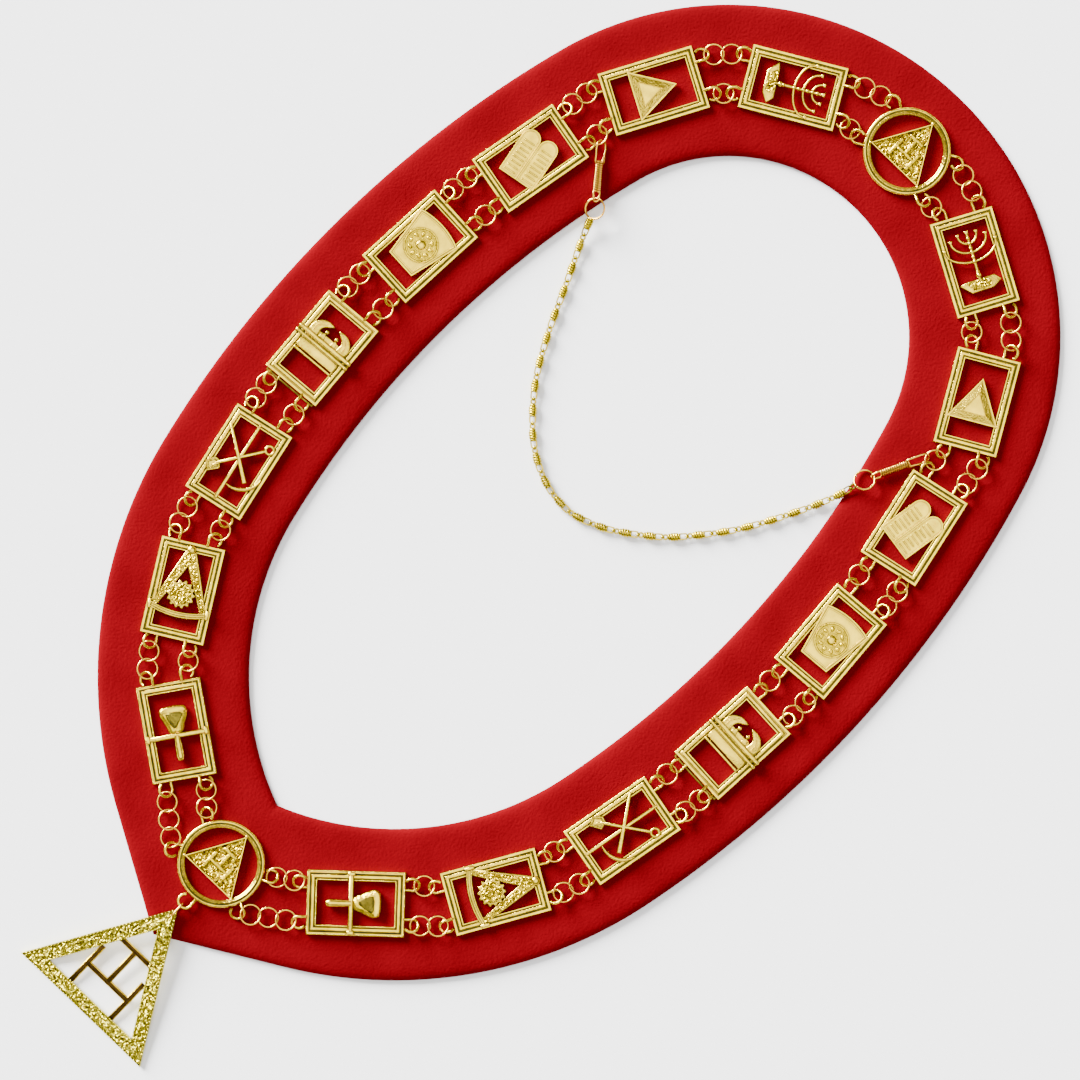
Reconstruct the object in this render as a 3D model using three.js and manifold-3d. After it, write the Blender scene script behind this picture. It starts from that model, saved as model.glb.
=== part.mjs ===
// A chain collar of a fraternal order: a velvet band in a pointed loop, lying flat, with a gilt chain
// of pierced plaques on it, a triangular drop at the point and a safety chain across the neck.
// Millimetres, +Z up, +Y from the point of the collar to the back of the neck.
import * as THREE from "three";
import { mergeVertices } from "three/addons/utils/BufferGeometryUtils.js";
import Module from "manifold-3d";

const wasm = await Module();
wasm.setup();

// Velvet band
const bandWidth = 63.5;
const bandThickness = 3;
const bandEdgeHeight = 2.1;
const bandEdgeRound = 2.4;
const bandPointReach = 1.3;

// Plaques
const plaqueWidth = 27;
const plaqueHeight = 41;
const plaqueThickness = 2.6;
const plaqueBar = 4.2;
const motifWire = 1.6;
const motifBase = 0.7;
const motifRise = 0.5;

// Round plaques at the back and at the point
const circleRadius = 18.5;
const circleBar = 3.3;
const circlePlateInset = 2.7;
const circlePlateHeight = 1.4;
const circleBorder = 1.6;
const circleTauBar = 1.7;
const circleSides = 20;

// Wire hooks on the plaques
const hookRadius = 2.95;
const hookWire = 1.25;
const hookInset = 5;
const hookTilt = 30;
const hookSink = 1;
const hookSteps = 5;
const hookRootHeight = 1.1;

// Jump rings
const ringRadius = 4.2;
const ringWire = 0.8;
const ringTilt = 12;
const ringLap = 0.95;
const ringSides = 10;
const ringWireSides = 5;

// Triangular drop
const pendantSide = 69;
const pendantBar = 6.35;
const pendantThickness = 1.8;
const pendantTauBar = 2.5;
const pendantEye = 2.6;
const pendantEyeDepth = 4.4;
const pendantRingRadius = 1.8;

// Safety chain, its split rings and its wound wire clasps
const chainWidth = 3;
const chainSides = 8;
const chainSteps = 34;
const splitRingRadius = 4.35;
const splitRingWire = 0.9;
const claspLength = 26.5;
const claspLoopWidth = 5;
const claspLoopLength = 11;
const claspEyeWidth = 3.2;
const claspEyeLength = 5.6;
const claspWire = 0.9;
const coilWidth = 4.6;
const coilDepth = 2.6;
const splitRingTilt = 24;

// Clearances between pieces that only touch
const restGap = 0.3;
const linkGap = 0.3;

// The plaques from the back of the neck to the point, and how far each one is turned on its arm
const plaques = [
  { motif: "menorah", right: 0, left: 0 },
  { motif: "triangle", right: 0, left: 0 },
  { motif: "tablets", right: 0, left: 0 },
  { motif: "keystone", right: 0, left: 0 },
  { motif: "ark", right: 0, left: 0 },
  { motif: "tools", right: 0, left: 0 },
  { motif: "sun", right: 0, left: 0 },
  { motif: "trowel", right: 4, left: 2 },
];

// Rings in each strand
const innerRings = 1;
const outerRings = 2;
const innerRingsAtPoint = 2;
const outerRingsAtPoint = 3;

// Gaps beside the round plaques, as shares of the gap between two others
const backGapShare = 0.89;
const frontGapShare = 1.11;

const ringPitch = 2 * ringRadius - ringLap;
const plaqueGap = 2 * hookRadius + 2 * ringRadius + ringPitch / 2;
const backGap = plaqueGap * backGapShare;
const frontGap = plaqueGap * frontGapShare;
const plaquePitch = plaqueHeight + plaqueGap;
const firstPlaque = circleRadius + backGap + plaqueHeight / 2;
const lastGap = circleRadius + frontGap + plaqueHeight / 2;
const halfLoop = firstPlaque + plaquePitch * (plaques.length - 1) + lastGap;

const rad = THREE.MathUtils.degToRad;

const hookDip = hookRadius * Math.sin(rad(hookTilt)) + hookWire / 2;
const ringDip = ringRadius * Math.sin(rad(ringTilt)) + ringWire / 2;
const plaqueFloor = bandThickness + restGap;
const hookLevel = plaqueFloor + Math.max(hookDip, ringDip);

// The centre line of one arm: three arcs that run into each other, by heading from the +Y axis.
// Radii are shares of the half loop's length.
const armArcs = [
  { radius: 0.2037, heading: 74.2 },
  { radius: 0.8422, heading: 102.5 },
  { radius: 0.3036, heading: 163.05 },
];

function layOutArcs(rows) {
  const turned = rows.map((row, i) => rad(row.heading) - rad(i ? rows[i - 1].heading : 0));
  const total = rows.reduce((sum, row, i) => sum + row.radius * turned[i], 0);
  const arcs = [];
  let start = 0;
  rows.forEach((row, i) => {
    const radius = (row.radius / total) * halfLoop;
    const from = i ? rad(rows[i - 1].heading) : 0;
    const before = arcs[i - 1];
    const centre = before
      ? before.centre.clone().addScaledVector(outward(from), before.radius - radius)
      : new THREE.Vector2(0, 0);
    arcs.push({ radius, from, to: rad(row.heading), start, centre });
    start += radius * turned[i];
  });
  return arcs;
}

function outward(heading) {
  return new THREE.Vector2(Math.sin(heading), Math.cos(heading));
}

const arcs = layOutArcs(armArcs);

// A point of the right arm at a heading, moved outward from the centre line by an offset
function pointAtHeading(heading, offset) {
  const arc = arcs.find((a) => heading <= a.to) ?? arcs[arcs.length - 1];
  return arc.centre.clone().addScaledVector(outward(heading), arc.radius + offset);
}

// The heading at a length along the centre line, from the back of the neck
function headingAt(length) {
  const arc = arcs.find((a) => length <= a.start + a.radius * (a.to - a.from)) ?? arcs[arcs.length - 1];
  return arc.from + (length - arc.start) / arc.radius;
}

// Where the collar's own frame lies: the middle of its length is at Y 0
const halfBand = bandWidth / 2;
const lastArc = arcs[arcs.length - 1];
const circleFrontY = pointAtHeading(lastArc.to, 0).y;
const pendantHeight = (pendantSide * Math.sqrt(3)) / 2;
const frontHookY = circleFrontY - circleRadius - hookRadius;
const pendantApexY = frontHookY - hookRadius - hookWire / 2 - linkGap * 2;
const bandTopY = arcs[0].radius + halfBand;
const bandPointY = circleFrontY - bandPointReach * halfBand;

// The drop leans from the band's point down to the table
const pendantOverBand = pendantApexY - bandPointY;
const pendantSlope = Math.asin((plaqueFloor + restGap) / (pendantHeight - pendantOverBand));
const middleY = (bandTopY + pendantApexY - pendantHeight * Math.cos(pendantSlope)) / 2;

// Solids for joining and cutting
function solidOf(geometry) {
  const bare = geometry.index ? geometry.toNonIndexed() : geometry.clone();
  bare.deleteAttribute("normal");
  bare.deleteAttribute("uv");
  const merged = mergeVertices(bare, 1e-4);
  const mesh = new wasm.Mesh({
    numProp: 3,
    vertProperties: merged.attributes.position.array,
    triVerts: new Uint32Array(merged.index.array),
  });
  return new wasm.Manifold(mesh);
}

function joined(geometries) {
  return geometries.map(solidOf).reduce((whole, piece) => whole.add(piece));
}

function geometryOf(solid) {
  const mesh = solid.getMesh();
  const geometry = new THREE.BufferGeometry();
  geometry.setAttribute("position", new THREE.BufferAttribute(mesh.vertProperties, 3));
  geometry.setIndex(new THREE.BufferAttribute(mesh.triVerts, 1));
  return geometry;
}

// A closed ring of sections, each a closed loop of as many points
function loftedRing(sections) {
  const count = sections[0].length;
  const positions = sections.flat().flatMap((p) => [p.x, p.y, p.z]);
  const index = [];
  sections.forEach((section, i) => {
    const here = i * count;
    const next = ((i + 1) % sections.length) * count;
    section.forEach((point, j) => {
      const k = (j + 1) % count;
      index.push(here + j, next + j, next + k, here + j, next + k, here + k);
    });
  });
  const geometry = new THREE.BufferGeometry();
  geometry.setAttribute("position", new THREE.Float32BufferAttribute(positions, 3));
  geometry.setIndex(index);
  return geometry;
}

// A moulded frame: a profile of insets and heights carried round an outline
function mouldedFrame(outlineAt, profile) {
  const loops = profile.map((row) => outlineAt(row.inset).map((p) => new THREE.Vector3(p.x, p.y, row.z)));
  return loftedRing(loops[0].map((corner, i) => loops.map((loop) => loop[i])));
}

function polygonOutline(radius, sides, turn = 0) {
  return Array.from({ length: sides }, (unused, i) => {
    const angle = turn + (2 * Math.PI * i) / sides;
    return new THREE.Vector2(radius * Math.cos(angle), radius * Math.sin(angle));
  });
}

function rectangleOutline(halfWidth, halfHeight) {
  return [
    new THREE.Vector2(halfWidth, -halfHeight),
    new THREE.Vector2(halfWidth, halfHeight),
    new THREE.Vector2(-halfWidth, halfHeight),
    new THREE.Vector2(-halfWidth, -halfHeight),
  ];
}

// A flat plate with this outline between two heights
function plate(outline, low, high) {
  const shape = new THREE.Shape(outline);
  const geometry = new THREE.ExtrudeGeometry(shape, { depth: high - low, bevelEnabled: false });
  return geometry.translate(0, 0, low);
}

function bar(start, end, width, low, high) {
  const length = start.distanceTo(end);
  const outline = rectangleOutline(length / 2, width / 2);
  const geometry = plate(outline, low, high);
  geometry.rotateZ(Math.atan2(end.y - start.y, end.x - start.x));
  return geometry.translate((start.x + end.x) / 2, (start.y + end.y) / 2, 0);
}

function arcBar(centre, radius, width, from, to, segments, low, high) {
  const angles = Array.from({ length: segments + 1 }, (unused, i) => rad(from + ((to - from) * i) / segments));
  const at = (angle, r) => new THREE.Vector2(centre.x + r * Math.cos(angle), centre.y + r * Math.sin(angle));
  const outer = angles.map((angle) => at(angle, radius + width / 2));
  const inner = angles.map((angle) => at(angle, radius - width / 2)).reverse();
  return plate([...outer, ...inner], low, high);
}

function wireAlong(curve, wire, sides, steps) {
  const section = new THREE.Shape(polygonOutline(wire / 2, sides));
  return new THREE.ExtrudeGeometry(section, { steps, extrudePath: curve, bevelEnabled: false });
}

// A wire hook that stands out of a plate's edge: its centre at the origin, away from the plate along +Y,
// rooted on one side and open on the other, and leaning about the line of its strand
function hook(row) {
  const line = new THREE.Vector3(Math.cos(row.line), Math.sin(row.line), 0);
  const bend = (angle) => {
    const point = new THREE.Vector3(row.side * Math.cos(rad(angle)), Math.sin(rad(angle)), 0);
    return point.multiplyScalar(hookRadius).applyAxisAngle(line, rad(row.lean * hookTilt));
  };
  const root = bend(180);
  root.set(root.x, -hookRadius - hookSink, plaqueFloor + hookRootHeight - hookLevel);
  const points = [root, ...[198, 162, 126, 90, 54, 18, -18].map(bend)];
  const geometry = wireAlong(new THREE.CatmullRomCurve3(points), hookWire, 4, hookSteps);
  return geometry.rotateZ(row.turn).translate(row.x, row.y, hookLevel - plaqueFloor);
}

// Motifs in plaque space, from table rows in shares of the plaque's width and height
const motifTop = plaqueThickness + motifRise;
const at = (x, y) => new THREE.Vector2(x * plaqueWidth, y * plaqueHeight);
const outlineOf = (rows) => rows.map((row) => at(row.x, row.y));

function motifPlate(rows, low = motifBase, high = motifTop) {
  return plate(outlineOf(rows), low, high);
}

function motifBar(x1, y1, x2, y2, width = motifWire) {
  return bar(at(x1, y1), at(x2, y2), width, motifBase, motifTop);
}

function motifDisc(x, y, radius, sides, low = motifBase, high = motifTop) {
  const centre = at(x, y);
  const geometry = plate(polygonOutline(radius * plaqueWidth, sides), low, high);
  return geometry.translate(centre.x, centre.y, 0);
}

function mirrored(rows) {
  return [...rows, ...[...rows].reverse().map((row) => ({ x: -row.x, y: row.y }))];
}

// Seven branched lampstand on a dais
function menorah() {
  const cupY = 0.3;
  const armRadii = [0.145, 0.27, 0.4];
  const arms = armRadii.map((share) =>
    arcBar(at(0, cupY), share * plaqueWidth, motifWire * 0.75, 180, 360, 4, motifBase, motifTop));
  const dais = motifPlate([
    { x: -0.33, y: -0.2 },
    { x: -0.17, y: -0.3 },
    { x: 0.17, y: -0.3 },
    { x: 0.33, y: -0.24 },
    { x: 0.22, y: -0.18 },
    { x: -0.22, y: -0.17 },
  ]);
  return [...arms, motifBar(0, -0.25, 0, cupY + 0.02), dais];
}

// Solid triangle with a smaller raised one on it
function triangle() {
  const outer = [{ x: -0.4, y: -0.21 }, { x: 0.4, y: -0.21 }, { x: 0, y: 0.245 }];
  const inner = [{ x: -0.15, y: -0.06 }, { x: 0.15, y: -0.06 }, { x: 0, y: 0.11 }];
  return [motifPlate(outer), motifPlate(inner, motifBase, motifTop + motifRise)];
}

// Twin round topped tablets with plain raised lines, leaning outwards
function tablets(arm) {
  const half = 0.155 * plaqueWidth;
  const foot = -0.265 * plaqueHeight;
  const shoulder = 0.16 * plaqueHeight;
  const lean = -arm * rad(20);
  const slabs = [-1, 1].map((side) => {
    const top = polygonOutline(half, 8).filter((p) => p.y >= -1e-6).map((p) => p.setY(p.y + shoulder));
    const outline = [new THREE.Vector2(half, foot), ...top, new THREE.Vector2(-half, foot)];
    return plate(outline, motifBase, motifTop).translate(side * half, 0, 0);
  });
  const lines = [0.2, 0.5, 0.8].map((share) => {
    const y = foot + share * (shoulder - foot);
    return bar(new THREE.Vector2(-half * 1.7, y), new THREE.Vector2(half * 1.7, y), motifWire / 3,
      motifBase, motifTop + motifRise / 2);
  });
  return [...slabs, ...lines].map((geometry) => geometry.rotateZ(lean));
}

// Keystone with a raised ring and boss
function keystone() {
  const outline = mirrored([
    { x: 0.255, y: -0.275 },
    { x: 0.405, y: 0.25 },
    { x: 0.21, y: 0.305 },
  ]);
  const ring = mouldedFrame(
    (inset) => polygonOutline(0.27 * plaqueWidth - inset, 8),
    [
      { inset: 0, z: motifBase },
      { inset: 0, z: motifTop + motifRise },
      { inset: motifWire / 2, z: motifTop + motifRise },
      { inset: motifWire / 2, z: motifBase },
    ],
  );
  return [motifPlate(outline), ring, motifDisc(0, 0, 0.095, 6, motifBase, motifTop + motifRise)];
}

// Moulded chest on carrying poles with two winged figures on its lid
function ark() {
  const chest = [{ x: -0.36, y: -0.17 }, { x: 0.36, y: -0.17 }, { x: 0.36, y: 0.07 }, { x: -0.36, y: 0.07 }];
  const lid = [{ x: -0.36, y: 0.01 }, { x: 0.36, y: 0.01 }, { x: 0.36, y: 0.07 }, { x: -0.36, y: 0.07 }];
  const wing = [
    { x: 0.33, y: 0.05 },
    { x: 0.37, y: 0.13 },
    { x: 0.3, y: 0.21 },
    { x: 0.16, y: 0.25 },
    { x: 0.05, y: 0.23 },
    { x: 0.14, y: 0.17 },
    { x: 0.2, y: 0.05 },
  ];
  const otherWing = wing.map((row) => ({ x: -row.x, y: row.y })).reverse();
  return [
    motifPlate(chest),
    motifPlate(lid, motifBase, motifTop + motifRise),
    motifBar(-0.49, -0.055, 0.49, -0.055, motifWire * 1.5),
    motifBar(-0.49, 0.055, 0.49, 0.055, motifWire * 1.1),
    motifPlate(wing),
    motifPlate(otherWing),
  ];
}

// Crossed shovel and pick over an upright crowbar
function tools() {
  const blade = [
    { x: -0.47, y: -0.155 },
    { x: -0.33, y: -0.245 },
    { x: -0.19, y: -0.15 },
    { x: -0.32, y: -0.07 },
  ];
  const pickHead = [
    { x: 0.015, y: -0.275 },
    { x: 0.17, y: -0.235 },
    { x: 0.31, y: -0.165 },
    { x: 0.44, y: -0.04 },
    { x: 0.36, y: -0.09 },
    { x: 0.24, y: -0.15 },
    { x: 0.14, y: -0.2 },
  ];
  return [
    motifBar(-0.015, -0.44, -0.015, 0.44, motifWire * 0.85),
    motifBar(-0.29, -0.12, 0.28, 0.235, motifWire * 0.75),
    motifBar(-0.41, 0.27, 0.26, -0.17, motifWire * 0.9),
    motifPlate(blade),
    motifPlate(pickHead),
    motifDisc(0.33, 0.27, 0.1, 8),
  ];
}

// Dividers over a quadrant with a rayed sun between the legs
function sun() {
  const rays = Array.from({ length: 20 }, (unused, i) => {
    const radius = (i % 2 ? 0.17 : 0.24) * plaqueWidth;
    const angle = (Math.PI * i) / 10;
    return new THREE.Vector2(radius * Math.cos(angle), radius * Math.sin(angle) - 0.01 * plaqueHeight);
  });
  const quadrantRadius = 1.33 * plaqueWidth;
  const quadrantCentre = new THREE.Vector2(0, quadrantRadius - 0.255 * plaqueHeight);
  return [
    motifBar(0, 0.44, -0.41, -0.215, motifWire * 1.2),
    motifBar(0, 0.44, 0.41, -0.215, motifWire * 1.2),
    motifDisc(0, 0.43, 0.07, 8),
    arcBar(quadrantCentre, quadrantRadius, motifWire, 250, 290, 4, motifBase, motifTop),
    plate(rays, motifBase, motifTop),
  ];
}

// Trowel on a crossbar, its blade towards the neck
function trowel() {
  const blade = mirrored([
    { x: 0.09, y: -0.06 },
    { x: 0.215, y: 0.14 },
    { x: 0.21, y: 0.215 },
    { x: 0.1, y: 0.25 },
  ]);
  const handle = mirrored([
    { x: 0.05, y: -0.33 },
    { x: 0.07, y: -0.27 },
    { x: 0.03, y: -0.1 },
    { x: 0.03, y: -0.04 },
  ]);
  return [motifPlate(blade), motifPlate(handle), motifBar(-0.45, -0.05, 0.45, -0.05)];
}

const motifs = { menorah, triangle, tablets, keystone, ark, tools, sun, trowel };

const gold = () => new THREE.MeshStandardMaterial({ color: 0xd8b75c, roughness: 0.28, metalness: 1 });
const velvet = () => new THREE.MeshStandardMaterial({ color: 0xb30f14, roughness: 0.95, metalness: 0 });

function namedMesh(name, geometry, material) {
  const mesh = new THREE.Mesh(geometry, material);
  mesh.name = name;
  return mesh;
}

// The four hooks of a plaque, near ones towards the back of the neck, rooted away from the corners
function plaqueHooks(arm) {
  const x = plaqueWidth / 2 - hookInset;
  const y = plaqueHeight / 2 + hookRadius;
  return [
    { x: arm * x, y, turn: 0, side: arm, strand: "outer", end: "near" },
    { x: -arm * x, y, turn: 0, side: -arm, strand: "inner", end: "near" },
    { x: arm * x, y: -y, turn: Math.PI, side: -arm, strand: "outer", end: "far" },
    { x: -arm * x, y: -y, turn: Math.PI, side: arm, strand: "inner", end: "far" },
  ];
}

// The hooks of a round plaque towards one arm, by their angle from +Y
function circleHooks(rows, arm) {
  const distance = circleRadius + hookRadius;
  return rows.map((row) => ({
    x: arm * distance * Math.sin(rad(row.angle)),
    y: distance * Math.cos(rad(row.angle)),
    turn: -arm * rad(row.angle),
    side: arm * row.side,
    strand: row.strand,
  }));
}

function plaqueGeometry(motif, arm, hooks) {
  const frame = mouldedFrame(
    (inset) => rectangleOutline(plaqueWidth / 2 - inset, plaqueHeight / 2 - inset),
    [
      { inset: 0, z: 0 },
      { inset: 0, z: plaqueThickness * 0.7 },
      { inset: plaqueBar * 0.4, z: plaqueThickness },
      { inset: plaqueBar, z: plaqueThickness * 0.6 },
      { inset: plaqueBar, z: 0 },
    ],
  );
  return geometryOf(joined([frame, ...motifs[motif](arm), ...hooks.map(hook)]));
}

// Three tau crosses joined at their feet, inside a triangle of this circumradius
function tripleTau(radius, width, low, high) {
  const topY = radius * 0.51;
  const crossY = -radius * 0.12;
  const postX = radius * 0.42;
  const halfTop = (radius - topY) * Math.tan(rad(30)) + width / 4;
  const v = (x, y) => new THREE.Vector2(x, y);
  return [
    bar(v(-halfTop, topY), v(halfTop, topY), width, low, high),
    bar(v(0, crossY), v(0, topY), width, low, high),
    bar(v(-postX, crossY), v(postX, crossY), width, low, high),
    bar(v(-postX, -radius * 0.55), v(-postX, radius * 0.24), width, low, high),
    bar(v(postX, -radius * 0.55), v(postX, radius * 0.24), width, low, high),
  ];
}

function circleGeometry(hooks) {
  const ring = mouldedFrame(
    (inset) => polygonOutline(circleRadius - inset, circleSides),
    [
      { inset: 0, z: 0 },
      { inset: 0, z: plaqueThickness * 0.7 },
      { inset: circleBar * 0.5, z: plaqueThickness },
      { inset: circleBar, z: plaqueThickness * 0.6 },
      { inset: circleBar, z: 0 },
    ],
  );
  const plateRadius = circleRadius - circlePlateInset;
  const upright = Math.PI / 2;
  const border = mouldedFrame(
    (inset) => polygonOutline(plateRadius - 2 * inset, 3, upright),
    [
      { inset: 0, z: motifBase },
      { inset: 0, z: plaqueThickness },
      { inset: circleBorder, z: plaqueThickness },
      { inset: circleBorder, z: motifBase },
    ],
  );
  const ground = plate(polygonOutline(plateRadius - circleBorder, 3, upright), motifBase, circlePlateHeight);
  const relief = tripleTau(plateRadius - 2 * circleBorder, circleTauBar, motifBase, plaqueThickness);
  return geometryOf(joined([ring, border, ground, ...relief, ...hooks.map(hook)]));
}

// A jump ring with its axis upright, its first corner on +Y
function jumpRing(radius, wire) {
  return new THREE.TorusGeometry(radius, wire / 2, ringWireSides, ringSides).rotateZ(Math.PI / 2);
}

// The centres of a strand's rings between two hooks
function ringCentres(start, end, count) {
  const along = end.clone().sub(start);
  const reach = (along.length() - (count - 1) * ringPitch) / 2;
  along.normalize();
  const centreAt = (i) => start.clone().addScaledVector(along, reach + i * ringPitch);
  return Array.from({ length: count }, (unused, i) => centreAt(i));
}

// Neighbouring rings of a strand lean to either side of its line
function strandGeometry(strand) {
  const rings = ringCentres(strand.start, strand.end, strand.count).map((centre, i) =>
    jumpRing(ringRadius, ringWire)
      .rotateY(rad(i % 2 ? -ringTilt : ringTilt))
      .rotateZ(strand.line - Math.PI / 2)
      .translate(centre.x, centre.y, 0));
  return geometryOf(joined(rings));
}

// The band: sections across it from the back of the neck to the mitre at the point, then back up the
// other arm. The outer edge leaves its arc at the mitre heading and runs straight to the point.
const bandSteps = [9, 5, 7];
const mitreHeading = 150;
const mitreSteps = 3;

function bandEdges() {
  const edges = [];
  const push = (inner, outer) => edges.push({ inner, outer });
  const lastHeading = (arc, i) => (i === arcs.length - 1 ? rad(mitreHeading) : arc.to);
  arcs.forEach((arc, i) => {
    for (let step = 0; step < bandSteps[i]; step += 1) {
      const heading = arc.from + ((lastHeading(arc, i) - arc.from) * step) / bandSteps[i];
      push(pointAtHeading(heading, -halfBand), pointAtHeading(heading, halfBand));
    }
  });
  const innerEnd = Math.PI - Math.asin(-lastArc.centre.x / (lastArc.radius - halfBand));
  const outerStart = pointAtHeading(rad(mitreHeading), halfBand);
  const point = new THREE.Vector2(0, bandPointY);
  for (let step = 0; step <= mitreSteps; step += 1) {
    const share = step / mitreSteps;
    const inner = pointAtHeading(rad(mitreHeading) + (innerEnd - rad(mitreHeading)) * share, -halfBand);
    if (step === mitreSteps) inner.setX(0);
    push(inner, outerStart.clone().lerp(point, share));
  }
  return edges;
}

function bandSection(inner, outer) {
  const width = inner.distanceTo(outer);
  const round = bandEdgeRound / width;
  const foot = round / 3;
  const rows = [
    { across: foot, z: 0 },
    { across: 0, z: bandEdgeHeight / 2 },
    { across: foot, z: bandEdgeHeight },
    { across: round * 2, z: bandThickness },
    { across: 1 - round * 2, z: bandThickness },
    { across: 1 - foot, z: bandEdgeHeight },
    { across: 1, z: bandEdgeHeight / 2 },
    { across: 1 - foot, z: 0 },
  ];
  return rows.map((row) => {
    const p = inner.clone().lerp(outer, row.across);
    return new THREE.Vector3(p.x, p.y, row.z);
  });
}

function bandGeometry() {
  const arm = bandEdges().map((edge) => bandSection(edge.inner, edge.outer));
  const flip = (section) => section.map((p) => new THREE.Vector3(-p.x, p.y, p.z));
  const otherArm = arm.slice(1, -1).reverse().map(flip);
  return loftedRing([...arm, ...otherArm]);
}

// The triangular drop, its apex at the origin, lying along -Y
function pendantGeometry() {
  const radius = pendantSide / Math.sqrt(3);
  const upright = Math.PI / 2;
  const frame = mouldedFrame(
    (inset) => polygonOutline(radius - 2 * inset, 3, upright),
    [
      { inset: 0, z: 0 },
      { inset: 0, z: pendantThickness },
      { inset: pendantBar, z: pendantThickness },
      { inset: pendantBar, z: 0 },
    ],
  );
  const tauLow = pendantThickness * 0.15;
  const tauHigh = pendantThickness * 0.8;
  const tau = tripleTau(radius - 2 * pendantBar, pendantTauBar, tauLow, tauHigh);
  const body = joined([frame, ...tau]).translate([0, -radius, 0]);
  const eye = plate(polygonOutline(pendantEye / 2, 8), -1, pendantThickness + 1);
  return geometryOf(body.subtract(solidOf(eye.translate(0, -pendantEyeDepth, 0))));
}

// The oval ring that carries the drop, standing on edge, long along Y
function pendantRingGeometry(length) {
  const geometry = jumpRing(pendantRingRadius, ringWire).rotateZ(Math.PI / 2);
  const position = geometry.attributes.position;
  const stretch = length / 2 - pendantRingRadius;
  for (let i = 0; i < position.count; i += 1) {
    position.setX(i, position.getX(i) + Math.sign(position.getX(i)) * stretch);
  }
  return geometry.rotateX(Math.PI / 2).rotateZ(Math.PI / 2);
}

// A clasp of one wire, its long loop towards +Y and its eye towards -Y, with a coil wound in the middle
function claspGeometry() {
  const loopTurn = claspLoopWidth / 2;
  const eyeTurn = claspEyeWidth / 2;
  const loop = roundedLoop(loopTurn, claspLoopLength, claspWire);
  loop.translate(0, (claspLength - claspLoopLength) / 2, 0);
  const eye = roundedLoop(eyeTurn, claspEyeLength, claspWire);
  eye.translate(0, (claspEyeLength - claspLength) / 2, 0);
  const coilLow = -claspLength / 2 + claspEyeLength - claspEyeWidth / 2;
  const coilHigh = claspLength / 2 - claspLoopLength + claspLoopWidth / 2;
  const coil = new THREE.CylinderGeometry(1, 1, coilHigh - coilLow, 8).scale(coilWidth / 2, 1, coilDepth / 2);
  coil.translate(0, (coilLow + coilHigh) / 2, 0);
  return geometryOf(joined([loop, eye, coil]));
}

// A wire loop with round ends, long along Y, of this centre line turn and outer length
function roundedLoop(turn, length, wire) {
  const geometry = jumpRing(turn, wire);
  const position = geometry.attributes.position;
  const stretch = Math.max(length / 2 - turn - wire / 2, 0);
  for (let i = 0; i < position.count; i += 1) {
    const y = position.getY(i);
    position.setY(i, y + Math.sign(Math.round(y * 1e4)) * stretch);
  }
  return geometry;
}

// Placing along an arm
function placeOnArm(length, arm) {
  const heading = headingAt(length);
  const p = pointAtHeading(heading, 0);
  return { x: arm * p.x, y: p.y, angle: arm * (Math.PI / 2 - heading) };
}

function worldOf(place, row) {
  const p = new THREE.Vector2(row.x, row.y).rotateAround(new THREE.Vector2(0, 0), place.angle);
  return new THREE.Vector2(place.x + p.x, place.y + p.y);
}

const collar = new THREE.Group();
collar.name = "collar";
const chain = new THREE.Group();
chain.position.y = -middleY;
collar.add(chain);

chain.add(namedMesh("velvet_band", bandGeometry(), velvet()));

const backCircle = {
  place: { x: 0, y: arcs[0].radius, angle: 0 },
  rows: [{ angle: 60, strand: "outer", side: 1 }, { angle: 117.5, strand: "inner", side: -1 }],
  extra: [],
};
const frontCircle = {
  place: { x: 0, y: circleFrontY, angle: 0 },
  rows: [{ angle: 117.5, strand: "outer", side: 1 }, { angle: 60, strand: "inner", side: -1 }],
  extra: [{ x: 0, y: -circleRadius - hookRadius, turn: Math.PI, side: 1, line: 0, lean: 0 }],
};
const armSides = [{ arm: 1, name: "right" }, { arm: -1, name: "left" }];

// Rings between each piece of the chain and the next
const strandCounts = [
  ...plaques.map(() => ({ inner: innerRings, outer: outerRings })),
  { inner: innerRingsAtPoint, outer: outerRingsAtPoint },
];

// The pieces of one arm in their order, each with its place and its hooks
function piecesOfArm(side) {
  const along = plaques.map((row, i) => {
    const place = placeOnArm(firstPlaque + i * plaquePitch, side.arm);
    place.angle += rad(row[side.name]);
    return { motif: row.motif, place, hooks: plaqueHooks(side.arm) };
  });
  const circles = [backCircle, frontCircle].map((circle) => {
    const hooks = circleHooks(circle.rows, side.arm);
    circle.extra.push(...hooks);
    return { place: circle.place, hooks };
  });
  return [circles[0], ...along, circles[1]];
}

// A strand runs from a hook of one piece to a hook of the next, and both hooks lean across its rings
function strandBetween(piece, next, strand, count) {
  const pick = (from, end) => from.hooks.find((row) => row.strand === strand && (row.end ?? end) === end);
  const startRow = pick(piece, "far");
  const endRow = pick(next, "near");
  const start = worldOf(piece.place, startRow);
  const end = worldOf(next.place, endRow);
  const line = Math.atan2(end.y - start.y, end.x - start.x);
  startRow.line = line - piece.place.angle - startRow.turn;
  startRow.lean = -1;
  endRow.line = line - next.place.angle - endRow.turn;
  endRow.lean = count % 2 ? -1 : 1;
  return { strand, start, end, line, count };
}

const strands = { right: [], left: [] };

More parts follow.
